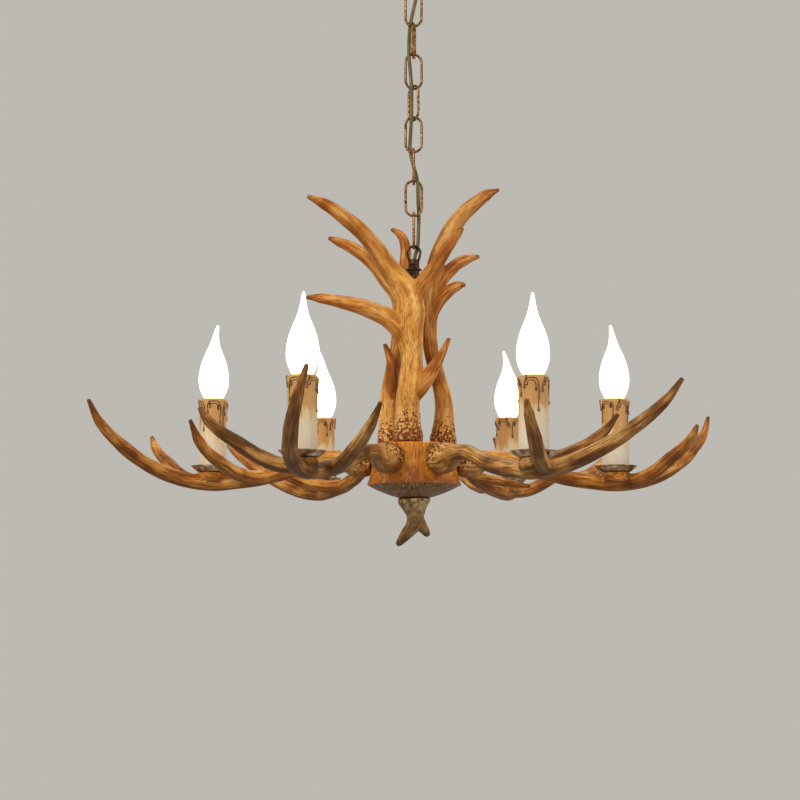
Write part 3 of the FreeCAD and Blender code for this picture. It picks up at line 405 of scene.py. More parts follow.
eye_wire = bend_wire("eye_wire", arch_outline(EYE_HALF_WIDTH, CHAIN_TOP - WIRE_RADIUS, CANOPY_FOOT - 10,
                                              EYE_LEG_OUT), WIRE_RADIUS, 90, closed=False)
eye_collar = turn_piece("eye_collar", [
    (5.4, CANOPY_FOOT), (8.6, CANOPY_FOOT), (9, CANOPY_FOOT - 1), (9, CANOPY_FOOT - 4),
    (7.6, CANOPY_FOOT - 5.4), (7.6, EYE_COLLAR_FOOT + 1), (7, EYE_COLLAR_FOOT), (4.6, EYE_COLLAR_FOOT),
    (4.6, EYE_COLLAR_FOOT + 3), (5.4, EYE_COLLAR_FOOT + 5)], 40, hollow=True)
canopy_eye = join_pieces("canopy_eye_piece", [eye_wire, eye_collar])
canopy_eye.data.materials.append(bronze)
finish_piece(canopy_eye, "ceiling", "antique_bronze", "canopy_eye")

# ---------------------------------------------------------------- stem loop, collar and tube
# The lamp's own eye, cast on a short hollow collar and screwed on the stem, over a washer
# and a plain tube. All are lacquered dark bronze.
LOOP_TOP = top_of("stem_loop") - WIRE_RADIUS
LOOP_LEG_OUT = 5.2
LOOP_COLLAR_HEIGHT = 11
COLLAR_FOOT = top_of("stem_collar")
COLLAR_TOP = COLLAR_FOOT + LOOP_COLLAR_HEIGHT
STEM_TOP = foot_of("stem_collar")
loop_wire = bend_wire("loop_wire", arch_outline(EYE_HALF_WIDTH, LOOP_TOP, COLLAR_TOP - 1, LOOP_LEG_OUT),
                      WIRE_RADIUS, closed=False)
loop_collar = turn_piece("loop_collar", [
    (4.6, COLLAR_TOP), (5.8, COLLAR_TOP), (6.5, COLLAR_TOP - 0.8), (6.5, COLLAR_TOP - 6.4),
    (6.1, COLLAR_TOP - 6.8), (6.1, COLLAR_TOP - 7.2), (6.7, COLLAR_TOP - 7.6), (6.7, COLLAR_FOOT),
    (4.6, COLLAR_FOOT)], 40, hollow=True)
stem_loop = join_pieces("stem_loop_piece", [loop_wire, loop_collar])
dark_bronze = antique_bronze("dark_bronze_lacquer", "#21150E", "#6B4A2C")
stem_loop.data.materials.append(dark_bronze)
finish_piece(stem_loop, "hanger", "stem_bronze", "stem_loop")
washer = turn_piece("stem_washer", [
    (4.6, COLLAR_FOOT), (8.8, COLLAR_FOOT), (9.4, COLLAR_FOOT - 0.5), (9.4, STEM_TOP + 0.4), (9, STEM_TOP),
    (4.6, STEM_TOP)], 48, hollow=True)
washer.data.materials.append(dark_bronze)
finish_piece(washer, "fixture", "stem_bronze", "stem_collar")
dress("stem_tube", dark_bronze)

# ---------------------------------------------------------------- supply cord
# A round 4.4 mm lead with an olive sheath. It drops out of the canopy's rod, is woven
# through the links and goes down the stem. It is held all the way, so it isn't a free cord:
# it is cut into stretches that stay where they are laid, and only the last, in the stem, goes with
# the fixture.
CORD_RADIUS = 2.2
LAST_CUT_BELOW_LOOP = 12
HUB_TOP = top_of("hub_body")
CHAIN_CROSSINGS = [(4.6, -4.6), (-4.6, 4.9), (-5.8, -4.8), (-2.4, -5.2), (-2.6, -4.9),
                   (-4.8, 4.9), (5.0, -4.9), (6.2, 4.9), (5.0, 4.9)]
LINK_MIDDLES = [(0, 0), (-5.4, 0), (-4, -4.6), (-2.4, -4.9), (-3.8, 0), (0, 0), (5, 0), (5.6, 5)]
cord_route = [(0, 0, -6), (0, 0, CANOPY_FOOT + 8), (0.4, -0.4, CHAIN_TOP - WIRE_RADIUS + 16)]
for k, (x, y) in enumerate(CHAIN_CROSSINGS):
    level = CHAIN_TOP - k * LINK_STEP
    cord_route.append((x, y, level))
    if k < LINK_COUNT:
        cord_route.append((*LINK_MIDDLES[k], level - LINK_STEP / 2))
cord_route += [(0.3, 0.3, COLLAR_TOP + 2.5), (0, 0, STEM_TOP)]
for k in range(1, 5):
    cord_route.append((0.4 * (-1) ** k, 0.3, STEM_TOP - k * (STEM_TOP - HUB_TOP + 10) / 5))
cord_route += [(0, 0, HUB_TOP - 8), (2, 0, HUB_TOP - 19), (9, 0, HUB_TOP - 27), (16.7, 0, HUB_TOP - 27)]


def mottled(name, size, detail, dark, light, roughness, ends=(0.3, 0.7)):
    """A plain material in two tones of one colour, mottled at a size in millimetres."""
    material = new_material(name)
    marks = cloudy(material, object_place(material), size, detail)
    tint = ramp(material, marks, (ends[0], dark), (ends[1], light))
    return shade(material, {"Base Color": tint, "Roughness": roughness})


def cord_sheath():
    """Olive PVC sheath, extruded smooth: even colour with a soft gloss and faint handling marks."""
    return mottled("olive_cord_sheath", 8, 3, "#4C4418", "#766C34", 0.38)


def route_places(route):
    """Places along the smooth line that a cord takes by its route's points."""
    line = bpy.data.curves.new("cord_route", "CURVE")
    line.dimensions = "3D"
    spline = line.splines.new("NURBS")
    spline.points.add(len(route) - 1)
    for point, (x, y, z) in zip(spline.points, route):
        point.co = (x * MM, y * MM, z * MM, 1)
    spline.order_u = 3
    spline.use_endpoint_u = True
    spline.resolution_u = 8
    carrier = bpy.data.objects.new("cord_route", line)
    bpy.context.scene.collection.objects.link(carrier)
    mesh = bpy.data.meshes.new_from_object(carrier)
    places = [vertex.co.copy() for vertex in mesh.vertices]
    bpy.data.objects.remove(carrier)
    return places


def cord_stretch(name, places):
    stretch = poly_wire(name, places, CORD_RADIUS, 4)
    bpy.ops.object.shade_smooth_by_angle(angle=math.radians(50))
    return stretch


sheath = cord_sheath()
cord_places = route_places(cord_route)
joint_levels = [CHAIN_TOP - WIRE_RADIUS - k * LINK_STEP for k in range(LINK_COUNT + 1)]
cord_bodies = ["ceiling"] + [f"link_{k + 1}" for k in range(LINK_COUNT)] + ["hanger"]
link_middles = [level - LINK_STEP / 2 for level in joint_levels[:-1]]
cut_levels = [0, *link_middles, joint_levels[-1] - LAST_CUT_BELOW_LOOP]
upper_to_lower = zip(cord_bodies, cord_bodies[1:], joint_levels, cut_levels, cut_levels[1:])
for number, (upper, lower, joint_level, start_level, end_level) in enumerate(upper_to_lower, start=1):
    inside = [i for i, place in enumerate(cord_places) if end_level * MM <= place.z <= start_level * MM]
    stretch = cord_stretch(f"cord_stretch_{number}", cord_places[max(inside[0] - 1, 0) : inside[-1] + 2])
    stretch.data.materials.append(sheath)
    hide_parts("supply_cord")
    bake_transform(stretch)
inside = [i for i, place in enumerate(cord_places) if place.z < cut_levels[-1] * MM]
cord_tail = cord_stretch("cord_in_stem", cord_places[inside[0] - 1 :])
cord_tail.data.materials.append(sheath)
finish_piece(cord_tail, "fixture", "cord_cloth", "supply_cord")

# ---------------------------------------------------------------- drum of the hub
# A hollow cast drum with a drawn-in waist, painted to look like split antler: upright grain
# in orange tan, darker in cloudy patches towards its flared foot. Its flat top carries the crown.
HUB_FOOT = foot_of("hub_body")
FLARE_TOP = HUB_TOP - 34
FLARE_RADIUS = 49
FLARE_RISE = 10
FLARE_WEAR = 0.03


def grained_drum():
    """Cast resin painted as antler: upright streaks 1 to 3 mm apart, pale on high spots, satin."""
    material = new_material("drum_resin")
    place = object_place(material)
    upright = add_node(material, "Mapping", {"Vector": place, "Scale": (1, 1, 0.06)}).outputs[0]
    streaks = cloudy(material, upright, 1.3, 4)
    both = maths(material, "ADD", streaks, cloudy(material, place, 16, 3))
    level = add_node(material, "SeparateXYZ", {"Vector": place}).outputs["Z"]
    flared = spread(material, level, FLARE_TOP * MM, HUB_FOOT * MM, 0, 0.5)
    # Darker in cloudy patches towards the flared foot.
    darker_toward_foot = maths(material, "MULTIPLY", cloudy(material, place, 4, 4), flared)
    amount = maths(material, "MULTIPLY", maths(material, "SUBTRACT", both, darker_toward_foot), 0.8)
    tint = ramp(material, amount, (0.62, "#9C520A"), (0.86, "#DC8A20"), (1.0, "#F8B64C"))
    return shade(material, {"Base Color": tint, "Normal": relief(material, streaks, 0.5, 0.5),
                            "Roughness": 0.5})


drum = turn_piece("hub_drum", [
    (7.1, HUB_TOP), (44, HUB_TOP), (50, HUB_TOP - 0.4), (51.6, HUB_TOP - 1.8), (51.4, HUB_TOP - 5),
    (50.4, HUB_TOP - 12), (50, HUB_TOP - 20), (50.3, HUB_TOP - 28), (51.5, HUB_TOP - 36),
    (53.2, HUB_TOP - 42), (54.8, HUB_TOP - 45.4), (54.6, HUB_FOOT), (48.6, HUB_FOOT), (46.2, HUB_TOP - 20),
    (46.2, HUB_TOP - 4), (7.1, HUB_TOP - 4)], 120, hollow=True)
for vertex in drum.data.vertices:
    place = vertex.co / MM
    flared = min(1, max(0, (FLARE_TOP - place.z) / FLARE_RISE)) * (place.xy.length > FLARE_RADIUS)
    dent = noise.noise(place / 7) + 0.5 * noise.noise(place / 3)
    vertex.co.xy *= 1 + flared * FLARE_WEAR * (dent - 0.5)
bpy.ops.object.shade_smooth()
drum.data.materials.append(grained_drum())
finish_piece(drum, "fixture", "hub_resin", "hub_body")

# ---------------------------------------------------------------- bowl of the hub
# A shallow cast bowl that closes the drum from below, with fine grooves that run in to the
# finial, and darker paint than the drum.


def grooved_bowl():
    """The drum's paint on the bowl's underside: grey-brown wash caught in radial grooves."""
    material = new_material("bowl_resin")
    place = object_place(material)
    corner = add_node(material, "SeparateXYZ", {"Vector": place}).outputs
    turn = maths(material, "ARCTAN2", corner["Y"], corner["X"])
    out = add_node(material, "VectorMath", {0: place, 1: (1, 1, 0)}, operation="MULTIPLY")
    reach = add_node(material, "VectorMath", {0: out.outputs["Vector"]}, operation="LENGTH")
    unrolled = add_node(material, "CombineXYZ", {"X": turn, "Y": reach.outputs["Value"]})
    stretched = add_node(material, "Mapping", {"Vector": unrolled.outputs[0], "Scale": (9, 60, 1)})
    grooves = add_node(material, "TexNoise", {"Vector": stretched.outputs[0], "Scale": 2.2,
                                              "Detail": 4}).outputs["Fac"]
    tint = ramp(material, grooves, (0.34, "#3E250E"), (0.52, "#6B4722"), (0.7, "#A27A4A"))
    return shade(material, {"Base Color": tint, "Normal": relief(material, grooves, 0.7, 0.8),
                            "Roughness": 0.55})


BOWL_FOOT = foot_of("hub_base")
bowl = turn_piece("hub_bowl", [
    (53, HUB_FOOT), (50.5, HUB_FOOT - 1.6), (44, HUB_FOOT - 5), (36, HUB_FOOT - 8.4), (28, HUB_FOOT - 11.4),
    (21, BOWL_FOOT + 0.5), (19, BOWL_FOOT), (7.1, BOWL_FOOT), (7.1, BOWL_FOOT + 4), (20, BOWL_FOOT + 4),
    (42, HUB_FOOT - 2.8), (45, HUB_FOOT + 3), (48, HUB_FOOT + 3), (48, HUB_FOOT)], 96, hollow=True)
bowl.data.materials.append(grooved_bowl())
finish_piece(bowl, "fixture", "hub_resin", "hub_base")

# ---------------------------------------------------------------- antler arms
# Six castings of one antler, in resin painted orange brown: a pearled burr against the drum,
# a beam that dips under the lamp and a tine on each side of it. Each is bolted from inside
# the drum. The points follow the casting: (outward, across, above the pan rim, radius).
LAMP_RING = 234
PAN_FOOT = foot_of("drip_pan_1")
ARM_ANGLES = [0, 58, 120, 180, 240, 301.3]
ARM_BEAM = [
    (49.6, 0, 5.3, 15.6), (52, 0, 5.3, 17.4), (58, 0, 5, 18.4), (70, 0, 4.8, 17.7), (78, 0, 6, 13.9),
    (86, 0, 8, 10.4), (96, 0, 9, 9.4), (112, 0, 7, 8.9), (132, 0, 0, 8.9), (150, 0, -7.5, 9.1),
    (200, 1, -17.5, 9.4), (234, 4, -20.4, 9.4), (280, 19, -12, 9.2), (322, 46, 12, 8.2), (351, 74, 43, 6.1),
    (361.4, 90, 67, 2.5)]
ARM_FRONT_TINE = [(248, 6, -18, 8.4), (265, -14, -14, 8.6), (290, -40, 5, 7.8), (311, -62, 27, 5.8),
                  (316.6, -69.4, 41, 2.5)]
ARM_BACK_TINE = [(175, 0, -14, 8.8), (195, 20, -13, 8.5), (218, 52, -1, 8), (238, 84, 20, 6.4),
                 (246.7, 101.5, 43, 2.5)]
ARM_SIDE_TINE = [(130, -2, -2, 6.8), (150, -22, -8, 6.4), (168, -42, -13, 5.2), (179.2, -59, -16, 2.5)]
CURVE_STEPS = 8
RUN, RADIUS, TO_TIP = 12, 13, 14
VOXEL = 1.15
TIP_LENGTH = 16
RIDGE_WIDTH, RIDGE_LENGTH, RIDGE_DEPTH = 6, 60, 0.55
LUMP_WIDTH, LUMP_LENGTH, LUMP_HEIGHT = 12, 24, 0.6
PEARL_SPACING = 4.2
SKIN_SINK = 0.25
NEAREST_BATCH = 4000


def smooth_curve(points):
    """A curve through points of (x, y, z, radius), as thick there as the radius once bevelled."""
    bpy.ops.curve.primitive_bezier_curve_add()
    curve = bpy.context.object
    spline = curve.data.splines[0]
    spline.bezier_points.add(len(points) - 2)
    for knot, (x, y, z, radius) in zip(spline.bezier_points, points):
        knot.handle_left_type = knot.handle_right_type = "AUTO"
        knot.co = Vector((x, y, z)) * MM
        knot.radius = radius
    return curve


def thicken(curve, bevel_steps):
    """Give a curve its thickness, and make it a mesh."""
    curve.data.bevel_depth = MM
    curve.data.bevel_resolution = bevel_steps
    curve.data.use_fill_caps = True
    bpy.ops.object.convert(target="MESH")


def sweep_branch(points, height):
    """Sweep one branch along its points, and give the places along its centre line too."""
    branch = smooth_curve([(x, y, z + height, radius) for x, y, z, radius in points])
    branch.data.resolution_u = CURVE_STEPS
    line = bpy.data.meshes.new_from_object(branch)
    centres = [vertex.co.copy() for vertex in line.vertices]
    thicken(branch, 6)
    radii = numpy.interp(numpy.arange(len(centres)) / CURVE_STEPS, range(len(points)),
                         [point[3] for point in points])
    return branch, centres, radii


def grain_samples(branches):
    """Along every branch: centre, three directions, run from the start, radius and run to the tip."""
    samples = []
    for centres, radii in branches:
        side, run = Vector((0.31, 0.5, 0.8)), 0
        whole = sum((after - before).length for before, after in zip(centres, centres[1:]))
        for i, centre in enumerate(centres):
            before, after = centres[max(i - 1, 0)], centres[min(i + 1, len(centres) - 1)]
            along = (after - before).normalized()
            side = (side - along * side.dot(along)).normalized()
            run += (centre - before).length
            samples.append((*centre, *along, *side, *along.cross(side), run, radii[i] * MM, whole - run))
    return numpy.array(samples)


def antler(name, branches, height, burr_length, pearl, extra=()):
    """Merge swept branches into one casting, mark the grain's directions on its skin, and
    raise its burr's pearls and its long ridges."""
    swept = [sweep_branch(points, height) for points in branches]
    casting = join_pieces(name, [branch for branch, _, _ in swept] + list(extra))
    remesh = casting.modifiers.new("merge", "REMESH")
    remesh.mode = "VOXEL"
    remesh.voxel_size = VOXEL * MM
    bpy.ops.object.modifier_apply(modifier="merge")
    smooth = casting.modifiers.new("soften", "SMOOTH")
    smooth.factor = 0.5
    smooth.iterations = 6
    bpy.ops.object.modifier_apply(modifier="soften")
    samples = grain_samples([(centres, radii) for _, centres, radii in swept])
    places = numpy.array([vertex.co for vertex in casting.data.vertices])
    nearest = numpy.empty(len(places), int)
    for start in range(0, len(places), NEAREST_BATCH):
        batch = slice(start, start + NEAREST_BATCH)
        gap = numpy.linalg.norm(places[batch, None] - samples[None, :, :3], axis=2)
        nearest[batch] = numpy.argmin(gap - samples[None, :, RADIUS], axis=1)
    found = samples[nearest]
    offset = places - found[:, :3]
    onward, across, beyond = [(offset * found[:, i : i + 3]).sum(axis=1) for i in (3, 6, 9)]
    grain = numpy.stack([across, beyond, found[:, RUN] + onward], axis=1)
    main = nearest < len(swept[0][1])
    burr = numpy.clip(1 - grain[:, 2] / (burr_length * MM), 0, 1) * main
    tip = numpy.clip(1 - (found[:, TO_TIP] - onward) / (TIP_LENGTH * MM), 0, 1)
    girth = found[:, RADIUS] / samples[:, RADIUS].max()
    mesh = casting.data
    grain_mark = mesh.attributes.new("grain", "FLOAT_VECTOR", "POINT")
    grain_mark.data.foreach_set("vector", grain.astype("f").ravel())
    for mark, values in (("burr", burr), ("tip", tip), ("girth", girth)):
        mesh.attributes.new(mark, "FLOAT", "POINT").data.foreach_set("value", values.astype("f"))
    normals = [vertex.normal.copy() for vertex in mesh.vertices]
    for i, vertex in enumerate(mesh.vertices):
        u, v, w = grain[i] / MM
        crease = (1 - abs(noise.noise(Vector((u / RIDGE_WIDTH, v / RIDGE_WIDTH, w / RIDGE_LENGTH))))) ** 6
        lump = noise.noise(Vector((u / LUMP_WIDTH, v / LUMP_WIDTH, w / LUMP_LENGTH)))
        lift = LUMP_HEIGHT * lump - RIDGE_DEPTH * crease * min(1, 2 * girth[i]) - SKIN_SINK
        if burr[i] > 0:
            pearls = noise.voronoi(Vector((u, v, 0.7 * w)) / PEARL_SPACING)[0][0]
            lift += pearl * min(1, 1.6 * burr[i]) * (0.35 - pearls)
        vertex.co += normals[i] * lift * MM * min(1, 3.2 - 3 * tip[i])
    bpy.ops.object.shade_smooth()
    return casting


def antler_resin(name, slim, stout, wash, speck, cover):
    """Cast resin painted as antler: thin tines in long orange grain, stout stems paler with short
    brown flecks, painted shade on the underside in the wash colour, the burr's pale ground kept
    to its upper side as a painted highlight, and pits that hold the dark wash round the burr. Satin."""
    material = new_material(name)
    grain = add_node(material, "Attribute", attribute_name="grain").outputs["Vector"]
    burr, tip, girth = [add_node(material, "Attribute", attribute_name=mark).outputs["Fac"]
                        for mark in ("burr", "tip", "girth")]

    def along_grain(stretch, size, detail):
        way = add_node(material, "Mapping", {"Vector": grain, "Scale": (1, 1, stretch)})
        return cloudy(material, way.outputs[0], size, detail)

    def blended(amount, first, second):
        values = {"Factor": amount, 6: first, 7: second}
        return add_node(material, "Mix", values, data_type="RGBA").outputs[2]

    long_grain = along_grain(0.05, 1.4, 4)
    short_flecks = along_grain(0.2, 1.5, 3)
    patches = maths(material, "ADD", along_grain(0.12, 6, 3), cloudy(material, object_place(material), 30, 2))
    level = spread(material, patches, 0.76, 1.24)
    slim_tint, stout_tint = [ramp(material, level, *zip((0.1, 0.5, 0.9), tones)) for tones in (slim, stout)]
    thick = spread(material, girth, 0.5, 0.8)
    lines = spread(material, long_grain, 0.38, 0.52, 0.75, 0)
    flecks = spread(material, short_flecks, 0.54, 0.63, 0, 0.7)
    marks = add_node(material, "Mix", {"Factor": thick, 2: lines, 3: flecks}).outputs[0]
    lined = blended(marks, blended(thick, slim_tint, stout_tint), linear(wash))
    facing = add_node(material, "NewGeometry").outputs["Normal"]
    upward = add_node(material, "SeparateXYZ", {"Vector": facing}).outputs["Z"]
    # Painted shade: faces that look down are darkened towards the wash colour, which also draws the grain
    # lines.
    shaded = blended(spread(material, upward, 0.1, -0.85, 0, 0.65), lined, linear(wash))
    # The burr's ground is paler, its own tone, but only where it faces up: a painted highlight on its upper
    # side.
    pale_burr_lit_top = maths(material, "MULTIPLY", burr, spread(material, upward, -0.5, 0.4, 0, 0.6))
    rubbed = blended(pale_burr_lit_top, shaded, linear(stout[2]))
    held = maths(material, "MULTIPLY_ADD", burr, cover, maths(material, "MULTIPLY_ADD", upward, 0.08, 0.29))
    cracked = spread(material, maths(material, "SUBTRACT", held, along_grain(1.1, 3, 6)), 0, 0.05)
    speckle = maths(material, "MAXIMUM", cracked, spread(material, burr, 0.955, 0.985))
    tone = spread(material, short_flecks, 0.4, 0.62)
    specked = blended(speckle, rubbed, blended(tone, linear(speck), linear(slim[0])))
    tipped = blended(spread(material, tip, 0.2, 0.95, 0, 0.6), specked, linear(speck))
    height = maths(material, "SUBTRACT", long_grain, speckle)
    return shade(material, {"Base Color": tipped, "Normal": relief(material, height, 0.6, 0.6),
                            "Roughness": 0.55, "Specular IOR Level": 0.25})


def turned_copy(piece, name, angle):
    """A copy of a finished piece with its own mesh, turned about the lamp's upright axis."""
    copy = piece.copy()
    copy.data = piece.data.copy()
    copy.name = name
    bpy.context.scene.collection.objects.link(copy)
    copy.data.transform(Matrix.Rotation(math.radians(angle), 4, "Z"))
    return copy


def lamp_boss():
    """The flat round seat that each arm has under its drip pan."""
    return turn_piece("boss", [(17, PAN_RIM - 19), (17.4, PAN_RIM - 16), (16.6, PAN_RIM - 10),
                               (16.4, PAN_FOOT - 0.1)], 40, (LAMP_RING, 0))


arm_paint = antler_resin("arm_resin", ("#864C14", "#C67A2A", "#E8AA54"), ("#965C20", "#CE8C3E", "#F0BC72"),
                         "#58300E", "#5C2A06", 0.28)
# Painted shade: the two front arms take a darker, greyer copy of the same arm paint, for the shade they hang
# in.
front_arm_shaded_paint = antler_resin("front_arm_resin_painted_shade", ("#664016", "#A66E34", "#DCA860"),
                           ("#965E22", "#CE8C3E", "#EEB86E"), "#4A2A0C", "#5C2A06", 0.28)
ARM_BURR_LENGTH = 46
plain_branches = [ARM_BEAM, ARM_FRONT_TINE, ARM_BACK_TINE]
plain_arm = antler("arm_plain", plain_branches, PAN_RIM, ARM_BURR_LENGTH, 1.0, [lamp_boss()])
side_arm = antler("arm_with_side_tine", plain_branches + [ARM_SIDE_TINE], PAN_RIM, ARM_BURR_LENGTH, 1.0,
                  [lamp_boss()])
for number, angle in enumerate(ARM_ANGLES, start=1):
    arm = turned_copy(side_arm if number == 2 else plain_arm, f"antler_arm_{number}", angle)
    # Arms 5 and 6, at the front, take the painted shade copy.
    arm.data.materials.append(front_arm_shaded_paint if number > 4 else arm_paint)
    finish_piece(arm, "fixture", "antler_resin", f"arm_antler_{number}")
bpy.data.objects.remove(plain_arm)
bpy.data.objects.remove(side_arm)

# ---------------------------------------------------------------- crown antlers
# Three castings that stand on the drum, screwed from below: thick golden stems with pitted
# burrs, and orange tines that curl outwards. Points: (right, away, above the drum, radius).
CROWN = {
    "front": (70, [
        [(-6.5, -30, 0, 16.8), (-6.5, -30, 7, 17.4), (-7.6, -30, 22, 15.8), (-7.6, -30, 40, 14.7),
         (-6.8, -30, 52, 14.4), (-4, -30, 75, 13.8), (-2.6, -30, 90, 13.2), (-3, -30, 103, 13.3),
         (-4.5, -30, 118, 15.2), (-5, -31, 135, 16.8), (-3.8, -31, 151, 17.6), (-9, -32, 176, 15.8),
         (-26, -34, 198, 12.6), (-51, -40, 233, 10.2), (-77, -45.5, 257, 9.4), (-104, -49.5, 275, 7.3),
         (-123.2, -52, 282.8, 2.6)],
        [(-8, -30, 118, 11.5), (-25, -33, 140, 12.4), (-51, -36, 153, 10.6), (-80, -38, 161, 8.5),
         (-108, -39, 166, 6), (-124.2, -40, 167, 2.5)],
        [(-3, -31, 158, 12), (11.5, -33, 186, 10.7), (26.5, -37, 207, 8.8), (41.5, -41, 229, 6.9),
         (51, -44, 241, 5), (56, -46, 247.4, 2.5)],
        [(-4, -30, 52, 10.5), (6, -32, 64, 11.3), (15, -35, 76, 10.3), (24, -39, 89, 7.2),
         (33, -43.5, 103, 4.8), (40, -48, 118.2, 2.5)]]),
    "right": (55, [
        [(34.6, 18, 0, 16), (34.6, 18, 8, 16.6), (35.2, 18, 25, 13.4), (35.3, 18, 51, 11),
         (29.5, 18, 78, 9.6), (20.5, 19, 114, 9.2), (18.6, 20, 144, 9.4), (19, 22, 175, 9.8),
         (24, 26, 210, 10.6), (36, 31, 245, 11), (53, 36, 275, 10.6), (73, 41, 297, 9.4),
         (90, 44, 310, 7.3), (104.2, 46, 316.8, 2.5)],
        [(20, 22, 176, 8.4), (29, 28, 195, 9), (44.5, 38, 216, 8.4), (63, 48, 230, 7.3),
         (80.2, 56, 235.8, 2.5)],
        [(18.5, 20, 142, 7.6), (26, 21, 168, 8.5), (39, 23, 184, 8.1), (52.5, 25, 193, 6.6),
         (62.2, 27, 195.3, 2.5)]]),
    "left": (55, [
        [(-29, 20, 0, 14), (-29, 20, 8, 14.6), (-29.5, 20, 25, 12.4), (-29.3, 20, 58, 11),
         (-25, 20, 90, 9.6), (-19, 20, 120, 9.2), (-16, 21, 150, 9.4), (-18, 24, 177, 9.6),
         (-32, 28.5, 200, 9.8), (-50, 33, 224, 9.4), (-72, 38, 241.5, 8.1), (-90, 43, 251, 6.3),
         (-103.2, 46, 256.8, 2.5)],
        [(-16.5, 24, 168, 8), (-13.3, 33, 199, 8), (-10, 38, 224, 7.3), (-10, 42, 246, 6.9),
         (-16, 46, 261, 5.6), (-26.8, 50, 268.6, 2.5)],
        [(-27, 19, 54, 9), (-26, 12, 80, 7.7), (-28, 6, 101, 5.3), (-31.5, 3, 112, 4),
         (-34.6, 0.7, 119.4, 2.5)]]),
}
crown_paint = antler_resin("crown_resin", ("#945418", "#CD7E2C", "#EBAC5C"),
                           ("#C48432", "#E9AA4E", "#FACE84"), "#7E400A", "#642C04", 0.31)
for side, (burr_length, branches) in CROWN.items():
    crown = antler(f"crown_{side}", branches, HUB_TOP, burr_length, 0.9)
    crown.data.materials.append(crown_paint)
    finish_piece(crown, "fixture", "crown_resin", f"crown_antler_{side}")

# ---------------------------------------------------------------- bottom finial
# A small forked antler that screws on the end of the stem, burr upwards, in mottled grey
# brown. Points: (right, away, above the bowl's foot, radius).
FINIAL = [
    [(0, 0, -0.4, 19.4), (0, 0, -5, 19), (0.6, 0, -11, 15.4), (1.6, 0, -20, 11), (-0.5, 0, -31, 9.4),
     (-8.5, -1, -42, 7.6), (-17, -2, -52, 4.6), (-20, -2, -55, 2.6)],
    [(3, 0, -24, 8), (9, 1, -33, 7), (14.5, 2, -41, 5.2), (17, 2, -44.4, 2.6)],
]
finial_paint = antler_resin("finial_resin", ("#6A4C24", "#987442", "#C8A470"),
                            ("#7C5C32", "#B08E5E", "#DCC08E"), "#4A3212", "#4A2E10", 0.24)
finial = antler("finial", FINIAL, BOWL_FOOT, 40, 0.8)
finial.data.materials.append(finial_paint)
finish_piece(finial, "fixture", "finial_resin", "bottom_finial")

# ---------------------------------------------------------------- drip pans
# Thin pressed saucers with a broad flared rim, plated and aged to a brownish pewter. Each is
# held on its arm's boss by the hollow rod under the candle.


def aged_pewter():
    """Pewter plate under a brown wash: dull metal with cloudy stains."""
    material = new_material("aged_pewter_plate")
    stains = cloudy(material, object_place(material), 7, 5)
    tint = ramp(material, stains, (0.34, "#6B4E30"), (0.5, "#A0896C"), (0.66, "#D8CAB4"))
    return shade(material, {"Base Color": tint, "Normal": relief(material, stains, 0.3, 0.4),
                            "Roughness": 0.4, "Metallic": 0.7})


pan = turn_piece("pan_plain", [
    (5.4, PAN_FOOT), (16.5, PAN_FOOT), (17.6, PAN_FOOT + 0.4), (19.2, PAN_FOOT + 1.7),
    (21.6, PAN_FOOT + 3.6), (23.6, PAN_RIM - 1.2), (24.8, PAN_RIM - 0.5), (24.8, PAN_RIM - 0.1),
    (24.2, PAN_RIM), (23, PAN_RIM - 0.6), (21, PAN_FOOT + 4.3), (18.6, PAN_FOOT + 2.4),
    (17, PAN_FOOT + 1.3), (5.4, PAN_FOOT + 1.3)], 72, (LAMP_RING, 0), hollow=True)
pan.data.materials.append(aged_pewter())
for number, angle in enumerate(ARM_ANGLES, start=1):
    finish_piece(turned_copy(pan, f"pan_{number}", angle), "fixture", "pan_pewter", f"drip_pan_{number}")
bpy.data.objects.remove(pan)

# ---------------------------------------------------------------- candle sleeves
# Plastic tubes cast with wax drips and a thick lip, cream with the bulb's warm light painted in
# near the top. Dark brown lines of painted shade outline the drips: arches under the lip, and
# runs that end in a tear.
SLEEVE_TOP = top_of("candle_sleeve_1")
SLEEVE_FOOT = foot_of("candle_sleeve_1")
SLEEVE_SPINS = [12, 40, 75, 100, 150, 28]
BULB_GLOW_REACH = 60
LIP_DEPTH = 9.5
DRIP_SHADE_OUT = 15.75
DRIP_SHADE_OUT_ON_LIP = 16.3
TEAR_NECK = 1.15


def candle_resin():
    """Cream moulded plastic with the bulb's warm light painted down from the lip: waxy, with a soft sheen."""
    material = new_material("candle_plastic")
    place = object_place(material)
    level = add_node(material, "SeparateXYZ", {"Vector": place}).outputs["Z"]
    # Painted light: the tint warms towards the lip, where the bulb above glows on the sleeve.
    bulb_glow = spread(material, level, (SLEEVE_TOP - BULB_GLOW_REACH) * MM, SLEEVE_TOP * MM)
    upright = add_node(material, "Mapping", {"Vector": place, "Scale": (1, 1, 0.15)}).outputs[0]
    tint = ramp(material, maths(material, "ADD", bulb_glow, cloudy(material, upright, 5, 4)),
                (0.45, "#EADFCB"), (0.85, "#E8D0A4"), (1, "#D09C5A"))
    return shade(material, {"Base Color": tint, "Roughness": 0.45, "Subsurface Weight": 0.15,
                            "Subsurface Radius": (4 * MM, 2 * MM, MM), "Subsurface Scale": 1})


def drip_edge_shade():
    """Dark brown lines of painted shade round the drips: glossy, paler where they are thin."""
    return mottled("drip_edge_shade_lines", 5, 2, "#4A2A0C", "#80501C", 0.25, ends=(0.4, 0.66))


